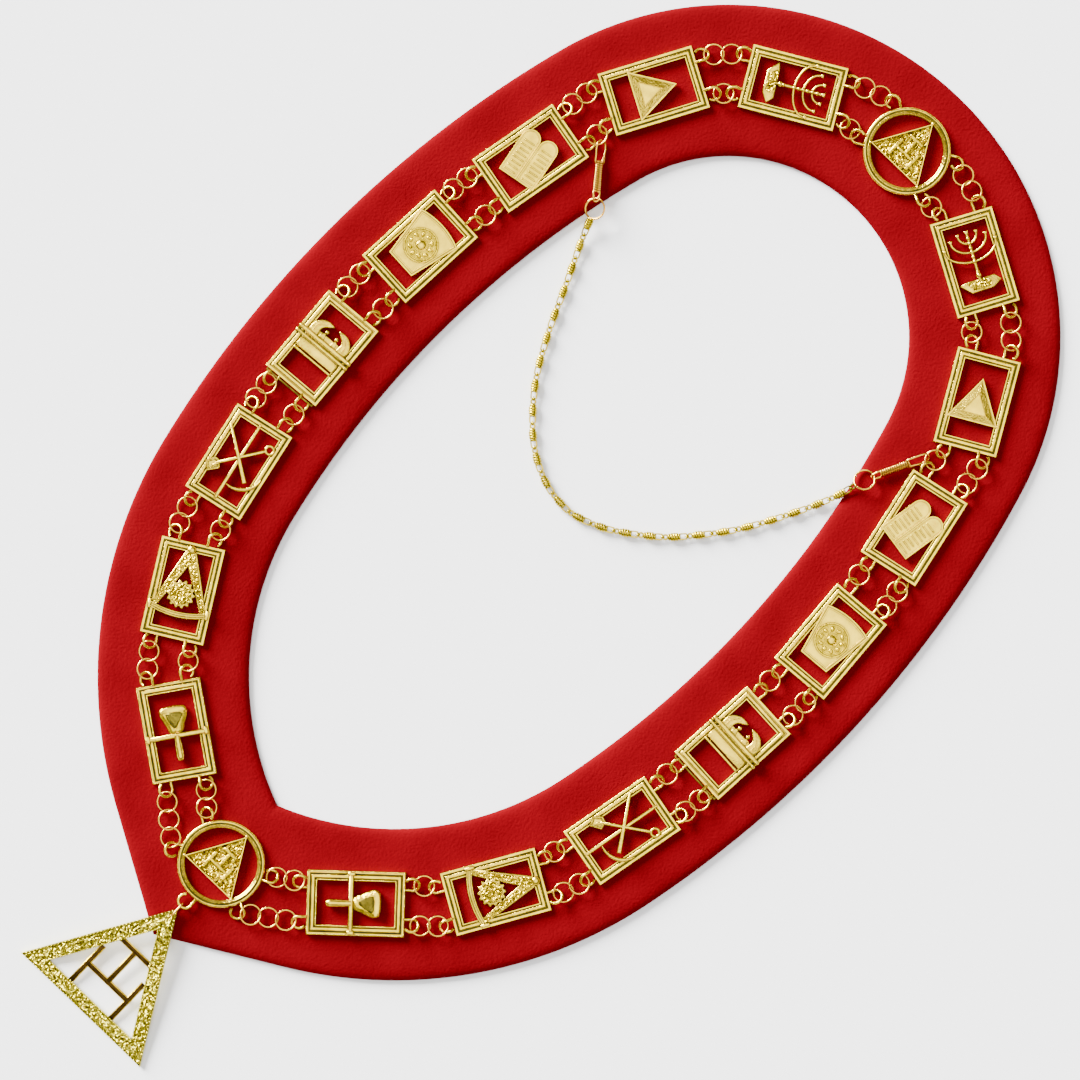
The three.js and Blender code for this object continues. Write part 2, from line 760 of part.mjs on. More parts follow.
armSides.forEach((side) => {
  const pieces = piecesOfArm(side);
  strandCounts.forEach((counts, i) => {
    ["inner", "outer"].forEach((name) => {
      const strand = strandBetween(pieces[i], pieces[i + 1], name, counts[name]);
      strands[side.name].push(strand);
      const mesh = namedMesh(["rings", name, i + 1, side.name].join("_"), strandGeometry(strand), gold());
      mesh.position.z = hookLevel;
      chain.add(mesh);
    });
  });
  pieces.slice(1, -1).forEach((piece) => {
    const name = ["plaque", piece.motif, side.name].join("_");
    const mesh = namedMesh(name, plaqueGeometry(piece.motif, side.arm, piece.hooks), gold());
    mesh.position.set(piece.place.x, piece.place.y, plaqueFloor);
    mesh.rotation.z = piece.place.angle;
    chain.add(mesh);
  });
});

[["circle_back", backCircle], ["circle_front", frontCircle]].forEach(([name, circle]) => {
  const mesh = namedMesh(name, circleGeometry(circle.extra), gold());
  mesh.position.set(circle.place.x, circle.place.y, plaqueFloor);
  chain.add(mesh);
});

// The drop lies over the point of the band and down on to the table
const pendant = namedMesh("pendant", pendantGeometry(), gold());
pendant.rotation.x = pendantSlope;
pendant.position.set(0, pendantApexY, pendantHeight * Math.sin(pendantSlope));
chain.add(pendant);

const ringInHook = frontHookY - hookRadius + hookWire / 2 + ringWire / 2 + linkGap * 2;
const ringInPendant = pendantApexY - pendantEyeDepth;
const pendantRing = namedMesh("pendant_ring", pendantRingGeometry(ringInHook - ringInPendant), gold());
const eyeLevel = pendant.position.z + pendantThickness / 2 - pendantEyeDepth * Math.sin(pendantSlope);
pendantRing.position.set(0, (ringInHook + ringInPendant) / 2, eyeLevel);
chain.add(pendantRing);

// The clasps leave the inner strands beside the tablets, and the safety chain hangs between them.
// Hold is the side of the ring that a clasp grips, heading its own direction, both from +Y.
const claspGap = plaques.findIndex((row) => row.motif === "tablets");
const clasps = [
  { side: "left", hold: 95, heading: 142, roll: 45 },
  { side: "right", hold: 258, heading: 206, roll: 50 },
];

const claspReach = ringRadius - ringWire / 2 - claspWire / 2 - linkGap;
const splitRingDip = splitRingRadius * Math.sin(rad(splitRingTilt)) + splitRingWire / 2;
const splitReach = splitRingRadius - splitRingWire / 2 - claspWire / 2 - linkGap;

const splitRings = clasps.map((row) => {
  const strand = strands[row.side].filter((s) => s.strand === "inner")[claspGap];
  const [centre] = ringCentres(strand.start, strand.end, strand.count);
  const away = outward(rad(row.heading));
  const grip = centre.clone().addScaledVector(outward(rad(row.hold)), claspReach);
  const middle = grip.clone().addScaledVector(away, (claspLength - claspWire) / 2);
  const halfHeight = (claspLoopWidth / 2) * Math.abs(Math.sin(rad(row.roll))) + claspWire / 2;
  const level = plaqueFloor + Math.max(halfHeight, splitRingDip);
  const mesh = namedMesh("clasp_" + row.side, claspGeometry(), gold());
  mesh.rotation.set(0, rad(row.roll), Math.PI - rad(row.heading), "ZYX");
  mesh.position.set(middle.x, middle.y, level);
  chain.add(mesh);
  const centreOfRing = grip.addScaledVector(away, claspLength - claspWire + splitReach);
  return { x: centreOfRing.x, y: centreOfRing.y, z: level, row };
});

// The safety chain's route over the table between its split rings, chosen by hand from left to right
const chainRoute = [
  [-72, -14], [-64.3, -31], [-55, -52], [-45, -69.7], [-33, -84], [-22.5, -92.4], [-12.2, -97.2],
  [-3.1, -98.9], [6.4, -98.3], [21, -92.2], [37.9, -79.9], [49.4, -67.6], [59.7, -54], [70, -36], [78, -19],
];

function chainGeometry() {
  const level = chainWidth / 2 + restGap / 3;
  const last = chainRoute.length - 1;
  const route = chainRoute.map(([x, y], i) => new THREE.Vector3(x, y, level + (i % last ? 0 : chainWidth / 5)));
  const ends = splitRings.map((ring, i) => {
    const next = route[i ? last : 0];
    const towards = new THREE.Vector2(next.x - ring.x, next.y - ring.y).normalize();
    const wire = towards.multiplyScalar(splitRingRadius);
    return new THREE.Vector3(ring.x + wire.x, ring.y + wire.y, ring.z);
  });
  const curve = new THREE.CatmullRomCurve3([ends[0], ...route, ends[1]]);
  const tube = wireAlong(curve, chainWidth, chainSides, chainSteps);
  const rings = splitRings.map((ring) =>
    jumpRing(splitRingRadius, splitRingWire)
      .rotateY(rad(-splitRingTilt))
      .rotateZ(rad(180 - ring.row.heading))
      .translate(ring.x, ring.y, ring.z));
  return geometryOf(joined([tube, ...rings]));
}

chain.add(namedMesh("safety_chain", chainGeometry(), gold()));

export default collar;
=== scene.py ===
import math

import bpy
from mathutils import Matrix, Vector, noise


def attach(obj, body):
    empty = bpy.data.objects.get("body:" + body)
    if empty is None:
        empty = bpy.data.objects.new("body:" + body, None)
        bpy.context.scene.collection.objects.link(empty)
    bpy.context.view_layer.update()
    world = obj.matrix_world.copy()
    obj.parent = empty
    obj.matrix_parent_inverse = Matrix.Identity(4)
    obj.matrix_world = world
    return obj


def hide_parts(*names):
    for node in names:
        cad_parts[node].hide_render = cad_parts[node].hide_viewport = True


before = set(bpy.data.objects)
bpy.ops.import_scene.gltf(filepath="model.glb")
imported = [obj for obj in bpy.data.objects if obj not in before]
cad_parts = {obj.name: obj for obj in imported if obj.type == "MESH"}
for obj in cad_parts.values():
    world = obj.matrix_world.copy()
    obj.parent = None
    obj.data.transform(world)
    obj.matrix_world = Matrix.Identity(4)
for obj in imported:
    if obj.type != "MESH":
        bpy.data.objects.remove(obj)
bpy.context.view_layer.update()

# The table and the view. The collar lies flat on a pale table and is seen from straight above,
# turned so that its point lies to the lower left. Soft light falls across it from the upper left.
MM = 0.001
view_turn = math.radians(43.9)
view_centre = Vector((2.2, 10.0)) * MM
view_width = 452.5 * MM
view_height = 2.0

bpy.ops.object.camera_add(location=(*view_centre, view_height), rotation=(0, 0, view_turn))
camera = bpy.context.object
camera.data.sensor_width = 36
camera.data.lens = 36 * view_height / view_width
camera.data.clip_end = 10
bpy.context.scene.camera = camera

bpy.ops.mesh.primitive_plane_add(size=6, location=(0, 0, -0.0001))
table = bpy.context.object
table.name = "table"
table_paint = bpy.data.materials.new("table_paint")
table_paint.use_nodes = True
table_shader = table_paint.node_tree.nodes["Principled BSDF"]
table_shader.inputs["Base Color"].default_value = (0.95, 0.95, 0.952, 1)
table_shader.inputs["Roughness"].default_value = 0.95
table_shader.inputs["Specular IOR Level"].default_value = 0.1
table.data.materials.append(table_paint)

window_height = math.radians(22)
view_across = Vector((math.cos(view_turn), math.sin(view_turn), 0))
view_up = Vector((-math.sin(view_turn), math.cos(view_turn), 0))
window_level = (view_up - view_across).normalized()
window_side = window_level * math.cos(window_height) + Vector((0, 0, math.sin(window_height)))
bpy.ops.object.light_add(type="SUN", location=window_side * 2)
window = bpy.context.object
window.name = "window_light"
window.data.energy = 26.5
window.data.angle = math.radians(32)
window.rotation_euler = window_side.to_track_quat("Z", "Y").to_euler()

# Overhead the room is a bright ceiling with darker walls, which polished metal mirrors
room_greys = [(0.0, 0.4), (0.3, 0.15), (0.48, 0.05), (0.66, 0.05), (0.8, 0.16), (0.9, 0.7), (1.0, 0.95)]
world = bpy.context.scene.world or bpy.data.worlds.new("room")
bpy.context.scene.world = world
world.use_nodes = True
room = world.node_tree
room_place = room.nodes.new("ShaderNodeTexCoord")
room_split = room.nodes.new("ShaderNodeSeparateXYZ")
room_ramp = room.nodes.new("ShaderNodeValToRGB")
room.links.new(room_place.outputs["Generated"], room_split.inputs[0])
room.links.new(room_split.outputs["Z"], room_ramp.inputs["Fac"])
room.links.new(room_ramp.outputs["Color"], room.nodes["Background"].inputs["Color"])
while len(room_ramp.color_ramp.elements) < len(room_greys):
    room_ramp.color_ramp.elements.new(0.5)
for element, (place, grey) in zip(room_ramp.color_ramp.elements, room_greys):
    element.position = place
for element, (place, grey) in zip(room_ramp.color_ramp.elements, room_greys):
    element.color = (grey, grey, grey, 1)
room.nodes["Background"].inputs["Strength"].default_value = 4.3


# The band. Scarlet velvet is drawn over a stiff padded board cut as a closed, pointed loop, and turned
# under at both edges, so that no seam shows from above.
band_width = 63.5
band_rise = 3.15
band_round = 2.4
pile_swell = 0.08
pile_foot = 2.4
pile_spread = 0.035
arm_arcs = [
    (107.328, (0, 126.071), 74.2),
    (443.75, (-323.711, 34.47), 102.5),
    (159.965, (-46.653, -26.952), 163.05),
]
mitre_heading = 150
band_tip = Vector((0, -221.243))


def arm_point(heading, offset):
    radius, centre, _ = next((arc for arc in arm_arcs if heading <= arc[2]), arm_arcs[-1])
    turn = math.radians(heading)
    return Vector(centre) + Vector((math.sin(turn), math.cos(turn))) * (radius + offset)


def band_edges(steps=150, mitre_steps=22):
    edges = []
    for i in range(steps):
        heading = mitre_heading * i / steps
        edges.append((arm_point(heading, -band_width / 2), arm_point(heading, band_width / 2)))
    radius, centre, _ = arm_arcs[-1]
    inner_end = 180 - math.degrees(math.asin(-centre[0] / (radius - band_width / 2)))
    outer_start = arm_point(mitre_heading, band_width / 2)
    for i in range(mitre_steps + 1):
        share = i / mitre_steps
        inner = arm_point(mitre_heading + (inner_end - mitre_heading) * share, -band_width / 2)
        edges.append((inner, outer_start.lerp(band_tip, share)))
    return edges


def band_profile(width):
    rim = [(1.2, 0), (0.3, 0.35), (0, 1.1), (0.35, 1.9), (1.2, 2.5), (band_round, 2.85)]
    side = rim + [(4.2, band_rise - 0.06), (7.0, band_rise)]
    middle = [(width * share, band_rise) for share in (0.2, 0.3, 0.4, 0.5, 0.6, 0.7, 0.8)]
    return side + middle + [(width - across, height) for across, height in reversed(side)]


def band_mesh():
    arm = band_edges()
    loop = arm + [(Vector((-a.x, a.y)), Vector((-b.x, b.y))) for a, b in reversed(arm[1:-1])]
    points, faces = [], []
    for inner, outer in loop:
        width = (outer - inner).length
        for across, height in band_profile(width):
            spot = inner.lerp(outer, across / width)
            swell = noise.noise(Vector((spot.x * pile_spread, spot.y * pile_spread, 3)))
            lift = pile_swell * swell if height > pile_foot else 0
            points.append(Vector((spot.x, spot.y, height + lift)) * MM)
    rows = len(band_profile(band_width))
    for i in range(len(loop)):
        here, there = i * rows, (i + 1) % len(loop) * rows
        for j in range(rows):
            k = (j + 1) % rows
            faces.append((here + j, here + k, there + k, there + j))
    mesh = bpy.data.meshes.new("velvet_cover")
    mesh.from_pydata(points, [], faces)
    return mesh


# Two tones and two roughnesses are spread over a surface by broad and fine noise. What lies deep
# between raised forms, found by ambient occlusion, is painted in the deeper tone as painted shade, and
# the same noise dents the surface.
def finish_and_painted_shade_group():
    tree = bpy.data.node_groups.new("finish_and_painted_shade", "ShaderNodeTree")
    inputs = [("Bright", "NodeSocketColor"), ("Deep", "NodeSocketColor")]
    inputs += [(label, "NodeSocketFloat") for label in
               ("Patch Scale", "Grain Scale", "Dent", "Depth Reach", "Patchiness", "Smooth", "Rough")]
    for label, kind in inputs:
        tree.interface.new_socket(label, in_out="INPUT", socket_type=kind)
    outputs = [("Color", "NodeSocketColor"), ("Roughness", "NodeSocketFloat"), ("Height", "NodeSocketFloat")]
    for label, kind in outputs:
        tree.interface.new_socket(label, in_out="OUTPUT", socket_type=kind)
    nodes, links = tree.nodes, tree.links
    given = nodes.new("NodeGroupInput")
    result = nodes.new("NodeGroupOutput")
    place = nodes.new("ShaderNodeTexCoord")
    patch = nodes.new("ShaderNodeTexNoise")
    grain = nodes.new("ShaderNodeTexNoise")
    patch.inputs["Detail"].default_value = 3
    grain.inputs["Detail"].default_value = 3
    for texture, scale in [(patch, "Patch Scale"), (grain, "Grain Scale")]:
        links.new(place.outputs["Object"], texture.inputs["Vector"])
        links.new(given.outputs[scale], texture.inputs["Scale"])
    # painted shade: ambient occlusion darkens the colour towards the deep tone in hollows and between raised
    # forms
    hollow = nodes.new("ShaderNodeAmbientOcclusion")
    hollow.samples = 4
    hollow.only_local = True
    links.new(given.outputs["Depth Reach"], hollow.inputs["Distance"])
    open_part = nodes.new("ShaderNodeMapRange")
    open_part.inputs["From Min"].default_value = 0.42
    open_part.inputs["From Max"].default_value = 0.9
    links.new(hollow.outputs["AO"], open_part.inputs["Value"])
    least = nodes.new("ShaderNodeMath")
    least.operation = "SUBTRACT"
    least.inputs[0].default_value = 1
    links.new(given.outputs["Patchiness"], least.inputs[1])
    spread = nodes.new("ShaderNodeMapRange")
    spread.inputs["From Min"].default_value = 0.36
    spread.inputs["From Max"].default_value = 0.62
    links.new(patch.outputs["Fac"], spread.inputs["Value"])
    links.new(least.outputs[0], spread.inputs["To Min"])
    share = nodes.new("ShaderNodeMath")
    share.operation = "MULTIPLY"
    links.new(open_part.outputs["Result"], share.inputs[0])
    links.new(spread.outputs["Result"], share.inputs[1])
    tone = nodes.new("ShaderNodeMix")
    tone.data_type = "RGBA"
    links.new(share.outputs[0], tone.inputs["Factor"])
    links.new(given.outputs["Deep"], tone.inputs["A"])
    links.new(given.outputs["Bright"], tone.inputs["B"])
    rough = nodes.new("ShaderNodeMapRange")
    links.new(grain.outputs["Fac"], rough.inputs["Value"])
    links.new(given.outputs["Smooth"], rough.inputs["To Min"])
    links.new(given.outputs["Rough"], rough.inputs["To Max"])
    height = nodes.new("ShaderNodeMath")
    height.operation = "MULTIPLY_ADD"
    links.new(patch.outputs["Fac"], height.inputs[0])
    links.new(given.outputs["Dent"], height.inputs[1])
    links.new(grain.outputs["Fac"], height.inputs[2])
    links.new(tone.outputs["Result"], result.inputs["Color"])
    links.new(rough.outputs["Result"], result.inputs["Roughness"])
    links.new(height.outputs[0], result.inputs["Height"])
    return tree


finish_and_painted_shade = finish_and_painted_shade_group()


def finished(name, metallic, bump, **values):
    material = bpy.data.materials.new(name)
    material.use_nodes = True
    nodes, links = material.node_tree.nodes, material.node_tree.links
    shader = nodes["Principled BSDF"]
    shader.inputs["Metallic"].default_value = metallic
    effect = nodes.new("ShaderNodeGroup")
    effect.node_tree = finish_and_painted_shade
    for label, value in values.items():
        socket = effect.inputs[label.replace("_", " ").title()]
        socket.default_value = (*value, 1) if isinstance(value, tuple) else value
    relief = nodes.new("ShaderNodeBump")
    relief.inputs["Distance"].default_value = bump
    links.new(effect.outputs["Color"], shader.inputs["Base Color"])
    links.new(effect.outputs["Roughness"], shader.inputs["Roughness"])
    links.new(effect.outputs["Height"], relief.inputs["Height"])
    links.new(relief.outputs["Normal"], shader.inputs["Normal"])
    return material


velvet = finished("scarlet_velvet", 0, 0.00025, bright=(0.11, 0.0006, 0.003), deep=(0.075, 0.0004, 0.002),
                  patch_scale=45, grain_scale=900, dent=0.8, depth_reach=0.002, patchiness=0.45,
                  smooth=0.8, rough=1)
velvet_shader = velvet.node_tree.nodes["Principled BSDF"]
velvet_shader.inputs["Sheen Weight"].default_value = 0.12
velvet_shader.inputs["Sheen Roughness"].default_value = 0.4
velvet_shader.inputs["Sheen Tint"].default_value = (1, 0.01, 0.03, 1)
velvet_shader.inputs["Specular IOR Level"].default_value = 0.01

band = bpy.data.objects.new("velvet_cover", band_mesh())
bpy.context.collection.objects.link(band)
bpy.ops.object.select_all(action="DESELECT")
band.select_set(True)
bpy.context.view_layer.objects.active = band
bpy.ops.object.mode_set(mode="EDIT")
bpy.ops.mesh.select_all(action="SELECT")
bpy.ops.mesh.normals_make_consistent(inside=False)
bpy.ops.object.mode_set(mode="OBJECT")
bpy.ops.object.shade_smooth()
band.data.materials.append(velvet)
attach(band, "root")
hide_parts("velvet_band")


# The plaques. Each is one brass casting, plated and polished: a picture frame with a flat outer rim, a
# groove, a low crowned moulding and an inner lip, a motif that spans it, and four soldered wire hooks.
# Pieces are shaped on the bench in millimetres, flat and upright, and then set down on the band.
plaque_floor = 3.3
plaque_size = (27, 41)
rim_height = 1.75
groove_foot = 0.4
plaque_moulding = [
    (0.14, 0.14), (0.8, 0.03), (0.16, -0.6), (0.5, 0.0), (0.16, 0.72), (0.25, 0.16), (0.4, 0.05),
    (0.4, -0.05), (0.25, -0.2), (0.14, -0.45), (0.34, 0.0), (0.12, 0.35), (0.34, 0.0),
]

polished = finished("polished_gilding", 1, 0.0003, bright=(0.93, 0.65, 0.03), deep=(0.05, 0.032, 0.004),
                    patch_scale=190, grain_scale=1300, dent=1.6, depth_reach=0.0016, patchiness=0.3,
                    smooth=0.08, rough=0.24)
polished.node_tree.nodes["Bump"].inputs["Strength"].default_value = 0.5
matted = finished("matted_gilding", 1, 0.00045, bright=(0.88, 0.62, 0.006), deep=(0.045, 0.028, 0.002),
                  patch_scale=500, grain_scale=850, dent=0.6, depth_reach=0.0014, patchiness=0.35,
                  smooth=0.12, rough=0.3)
# painted shade: a dark gilt colour for groove floors and the trowel blade's sloping facet, standing in for
# their shade
shadowed = finished("shadowed_gilding", 1, 0.0003, bright=(0.16, 0.12, 0.012), deep=(0.03, 0.024, 0.003),
                    patch_scale=190, grain_scale=1000, dent=1.0, depth_reach=0.001, patchiness=0.8,
                    smooth=0.1, rough=0.3)


def only(piece):
    bpy.ops.object.select_all(action="DESELECT")
    piece.select_set(True)
    bpy.context.view_layer.objects.active = piece


def joined(pieces, name):
    bpy.ops.object.select_all(action="DESELECT")
    for piece in pieces:
        piece.select_set(True)
    bpy.context.view_layer.objects.active = pieces[0]
    bpy.ops.object.join()
    whole = bpy.context.object
    whole.name = name
    whole.data.name = name
    return whole


def gilded(piece, material, smooth_angle=35):
    piece.data.materials.clear()
    piece.data.materials.append(material)
    only(piece)
    bpy.ops.object.shade_smooth_by_angle(angle=math.radians(smooth_angle))
    return piece


def raised_face(outline, height, steps):
    area = sum(a[0] * b[1] - b[0] * a[1] for a, b in zip(outline, outline[1:] + outline[:1]))
    corners = outline if area > 0 else outline[::-1]
    bpy.ops.object.select_all(action="DESELECT")
    bpy.ops.mesh.primitive_circle_add(vertices=len(corners), fill_type="NGON", location=(0, 0, 0))
    piece = bpy.context.object
    for vertex, corner in zip(piece.data.vertices, corners):
        vertex.co = (*corner, 0)
    if piece.data.polygons[0].normal.z < 0:
        piece.data.flip_normals()
    bpy.ops.object.mode_set(mode="EDIT")
    bpy.ops.mesh.select_all(action="SELECT")
    bpy.ops.mesh.extrude_region_move(TRANSFORM_OT_translate={"value": (0, 0, height)})
    for thickness, rise in steps:
        bpy.ops.mesh.inset(thickness=thickness, depth=rise)
    return piece


# A solid relief whose edge is carved in steps, each going inwards and up
def carved(outline, low, height, steps, material, smooth_angle=30):
    piece = raised_face(outline, height, steps)
    bpy.ops.mesh.select_all(action="SELECT")
    bpy.ops.mesh.normals_make_consistent(inside=False)
    bpy.ops.object.mode_set(mode="OBJECT")
    piece.data.transform(Matrix.Translation((0, 0, low)))
    return gilded(piece, material, smooth_angle)


# A moulded rim: the same steps, and then the middle is cut out right through
def moulded_rim(outline, height, steps, material, smooth_angle=35):
    piece = raised_face(outline, height, steps)
    depth = height + sum(rise for _, rise in steps)
    bpy.ops.mesh.extrude_region_move(TRANSFORM_OT_translate={"value": (0, 0, -depth)})
    bpy.ops.mesh.delete(type="FACE")
    bpy.ops.object.mode_set(mode="OBJECT")
    for face in piece.data.polygons:
        face.select = len(face.vertices) == len(outline) and abs(face.center.z) < 1e-4
    bpy.ops.object.mode_set(mode="EDIT")
    bpy.ops.mesh.delete(type="ONLY_FACE")
    bpy.ops.mesh.select_all(action="DESELECT")
    bpy.ops.mesh.select_non_manifold()
    bpy.ops.mesh.bridge_edge_loops()
    bpy.ops.mesh.select_all(action="SELECT")
    bpy.ops.mesh.normals_make_consistent(inside=False)
    bpy.ops.object.mode_set(mode="OBJECT")
    return gilded(piece, material, smooth_angle)


# The floor of a groove, a dark strip in shadowed gilding: painted shade standing in for the shade that fills
# the groove
def shaded_groove_floor(outline, width, top):
    piece = moulded_rim(outline, top - groove_foot, [(width, 0.0)], shadowed)
    piece.data.transform(Matrix.Translation((0, 0, groove_foot)))
    return piece


def round_outline(radius, sides, turn=0.0, x=0.0, y=0.0):
    turns = [turn + 2 * math.pi * i / sides for i in range(sides)]
    return [(x + radius * math.cos(a), y + radius * math.sin(a)) for a in turns]


# Corners become a flowing outline that passes through them all
def flowing(corners, steps=4):
    spots = [Vector(corner) for corner in corners]
    count = len(spots)
    made = []
    for i in range(count):
        a, b, c, d = (spots[(i + k) % count] for k in (-1, 0, 1, 2))
        for step in range(steps):
            t = step / steps
            made.append(tuple(0.5 * (2 * b + (c - a) * t + (2 * a - 5 * b + 4 * c - d) * t * t
                                     + (3 * b - a - 3 * c + d) * t ** 3)))
    return made


# A solid relief with softly rounded edges
def cast(outline, low, high, material, edge=0.25):
    steps = [(edge * 0.25, edge * 0.6), (edge * 0.75, edge * 0.4)]
    return carved(outline, low, high - low - edge, steps, material, 50)


def cast_bar(x1, y1, x2, y2, width, low, high, material, edge=0.25, far_width=None):
    start, end = Vector((x1, y1)), Vector((x2, y2))
    along = (end - start).normalized()
    side = Vector((-along.y, along.x)) / 2
    near, far = side * width, side * (far_width or width)
    corners = [tuple(p) for p in (start - near, end - far, end + far, start + near)]
    return cast(corners, low, high, material, edge)


# Drawn wire along a path, thicker or thinner along it where weights are given
def wire(path, radius, material, closed=False, sides=2, curved=True, weights=None):
    curve = bpy.data.curves.new("wire", "CURVE")
    curve.dimensions = "3D"
    spline = curve.splines.new("BEZIER" if curved else "POLY")
    knots = spline.bezier_points if curved else spline.points
    knots.add(len(path) - 1)
    for i, (spot, knot) in enumerate(zip(path, knots)):
        knot.co = spot if curved else (*spot, 1)
        knot.radius = weights[i] if weights else 1
        if curved:
            knot.handle_left_type = knot.handle_right_type = "AUTO"
    spline.use_cyclic_u = closed
    spline.resolution_u = 4
    curve.bevel_depth = radius
    curve.bevel_resolution = sides
    curve.use_fill_caps = True
    piece = bpy.data.objects.new("wire", curve)
    bpy.context.collection.objects.link(piece)
    only(piece)
    bpy.ops.object.convert(target="MESH")
    return gilded(bpy.context.object, material, 50)


def dome(x, y, z, radius, rise, material, rings=8):
    bpy.ops.mesh.primitive_uv_sphere_add(segments=rings * 2, ring_count=rings, radius=radius)
    piece = bpy.context.object
    piece.data.transform(Matrix.Translation((x, y, z)) @ Matrix.Diagonal((1, 1, rise / radius, 1)))
    return gilded(piece, material, 60)


# A row of tiny beads along a line, as milgrain is rolled on an edge
def bead_row(start, end, z, size, pitch, material):
    along = Vector((end[0] - start[0], end[1] - start[1]))
    count = max(int(along.length / pitch), 2)
    bpy.ops.mesh.primitive_ico_sphere_add(subdivisions=1, radius=size)
    piece = bpy.context.object
    piece.data.transform(Matrix.Translation((start[0], start[1], z)))
    row = piece.modifiers.new("row", "ARRAY")
    row.count = count
    row.use_relative_offset = False
    row.use_constant_offset = True
    row.constant_offset_displace = (*(along / (count - 1)), 0)
    bpy.ops.object.modifier_apply(modifier=row.name)
    return gilded(piece, material, 60)


def bead_border(corners, z, size, pitch, material):
    return [bead_row(a, b, z, size, pitch, material) for a, b in zip(corners, corners[1:] + corners[:1])]


# A hammered field: a fine grid trimmed along straight edges, dented by a rough pattern and given a body
nugget_pattern = bpy.data.textures.new("nuggets", "VORONOI")
nugget_pattern.noise_scale = 0.65
nugget_pattern.noise_intensity = 1.3


def hammered(corners, low, high, depth, pitch, material):
    middle = sum((Vector(corner) for corner in corners), Vector((0, 0))) / len(corners)
    reach_x = max(abs(x - middle.x) for x, y in corners) * 2
    reach_y = max(abs(y - middle.y) for x, y in corners) * 2
    bpy.ops.object.select_all(action="DESELECT")
    bpy.ops.mesh.primitive_grid_add(x_subdivisions=max(int(reach_x / pitch), 2),
                                    y_subdivisions=max(int(reach_y / pitch), 2), size=1)
    piece = bpy.context.object
    piece.data.transform(Matrix.Translation((*middle, 0)) @ Matrix.Diagonal((reach_x, reach_y, 1, 1)))
    bpy.ops.object.mode_set(mode="EDIT")
    for a, b in zip(corners, corners[1:] + corners[:1]):
        outward = Vector((b[1] - a[1], a[0] - b[0], 0))
        if outward.xy.dot(Vector(a) - middle) < 0:
            outward.negate()
        bpy.ops.mesh.select_all(action="SELECT")
        bpy.ops.mesh.bisect(plane_co=(*a, 0), plane_no=outward.normalized(), clear_outer=True)
    bpy.ops.object.mode_set(mode="OBJECT")
    piece.data.transform(Matrix.Translation((0, 0, high)))
    dents = piece.modifiers.new("dents", "DISPLACE")
    dents.texture = nugget_pattern
    dents.texture_coords = "LOCAL"
    dents.direction = "Z"
    dents.strength = depth
    bpy.ops.object.modifier_apply(modifier=dents.name)
    bpy.ops.object.mode_set(mode="EDIT")
    bpy.ops.mesh.select_all(action="SELECT")
    bpy.ops.mesh.extrude_region_move(TRANSFORM_OT_translate={"value": (0, 0, low - high)})
    bpy.ops.mesh.select_all(action="SELECT")
    bpy.ops.mesh.normals_make_consistent(inside=False)
    bpy.ops.object.mode_set(mode="OBJECT")
    return gilded(piece, material, 12)


def oval(cx, cy, rx, ry, start, end, steps, z):
    turns = [math.radians(start + (end - start) * i / steps) for i in range(steps + 1)]
    return [(cx + rx * math.cos(turn), cy + ry * math.sin(turn), z) for turn in turns]


def box_outline(x, y):
    return [(-x, -y), (x, -y), (x, y), (-x, y)]


def plaque_frame(beaded=False):
    x, y = plaque_size[0] / 2, plaque_size[1] / 2
    made = [moulded_rim(box_outline(x, y), rim_height, plaque_moulding, polished)]
    made.append(shaded_groove_floor(box_outline(x - 1.07, y - 1.07), 0.56, rim_height - 0.39))
    made.append(shaded_groove_floor(box_outline(x - 3.18, y - 3.18), 0.39, rim_height - 0.16))
    if beaded:
        made += bead_border(box_outline(x - 0.3, y - 0.3), rim_height + 0.25, 0.36, 0.85, polished)
        made += bead_border(box_outline(x - 3.9, y - 3.9), rim_height + 0.1, 0.3, 0.8, polished)
    return made


# Seven branched lampstand: three pairs of curved arms with cups, each pair a little lower than the one
# inside it, a knopped stem and a rough block for a foot
def lampstand():
    z = 2.3
    made = plaque_frame()
    for reach, top, foot in [(4.0, 12.2, 8.2), (7.6, 10.4, 4.4), (11.0, 7.4, 0.4)]:
        made.append(wire(oval(0, top, reach, top - foot, 180, 360, 12, z), 0.5, polished))
        made += [cast_bar(side * reach, top - 0.3, side * reach, top + 0.8, 1.0, 1.6, z + 0.75,
                          polished, 0.2, 1.7) for side in (-1, 1)]
    made.append(wire([(0, y, z) for y in (-8, 0, 6, 13)], 0.66, polished))
    made.append(cast_bar(0, 12.2, 0, 13.6, 1.1, 1.6, z + 0.8, polished, 0.2, 1.9))
    knops = [(10.4, 1.0), (8.2, 1.0), (6.2, 0.95), (4.4, 1.05), (2.4, 0.95), (0.4, 1.1), (-4.2, 1.0),
             (-5.6, 1.3)]
    made += [dome(0, y, z, size, size, polished, 5) for y, size in knops]
    foot = [(-8.9, -8.0), (-4.6, -12.3), (4.8, -12.1), (8.9, -9.6), (6.4, -6.9), (-5.9, -7.2)]
    made.append(cast(foot, 0.7, 2.2, polished, 0.35))
    rough_top = [(-5.6, -8.0), (-3.4, -11.4), (3.6, -11.2), (4.6, -9.2), (2.6, -7.4), (-3.6, -7.5)]
    made.append(hammered(rough_top, 1.2, 2.5, 0.9, 0.5, matted))
    return made


# Solid triangle: a thin border, broad slopes and a smaller triangle on top
def stepped_triangle():
    outline = [(-10.9, -8.6), (10.9, -8.6), (0, 10.2)]
    steps = [(0.1, 0.15), (0.45, 0.0), (0.12, -0.25), (0.15, 0.0), (2.3, 0.75), (0.12, -0.18), (0.2, 0.0),
             (0.12, 0.18), (0.5, 0.06)]
    return plaque_frame() + [carved(outline, 0.7, 1.5, steps, polished, 10)]


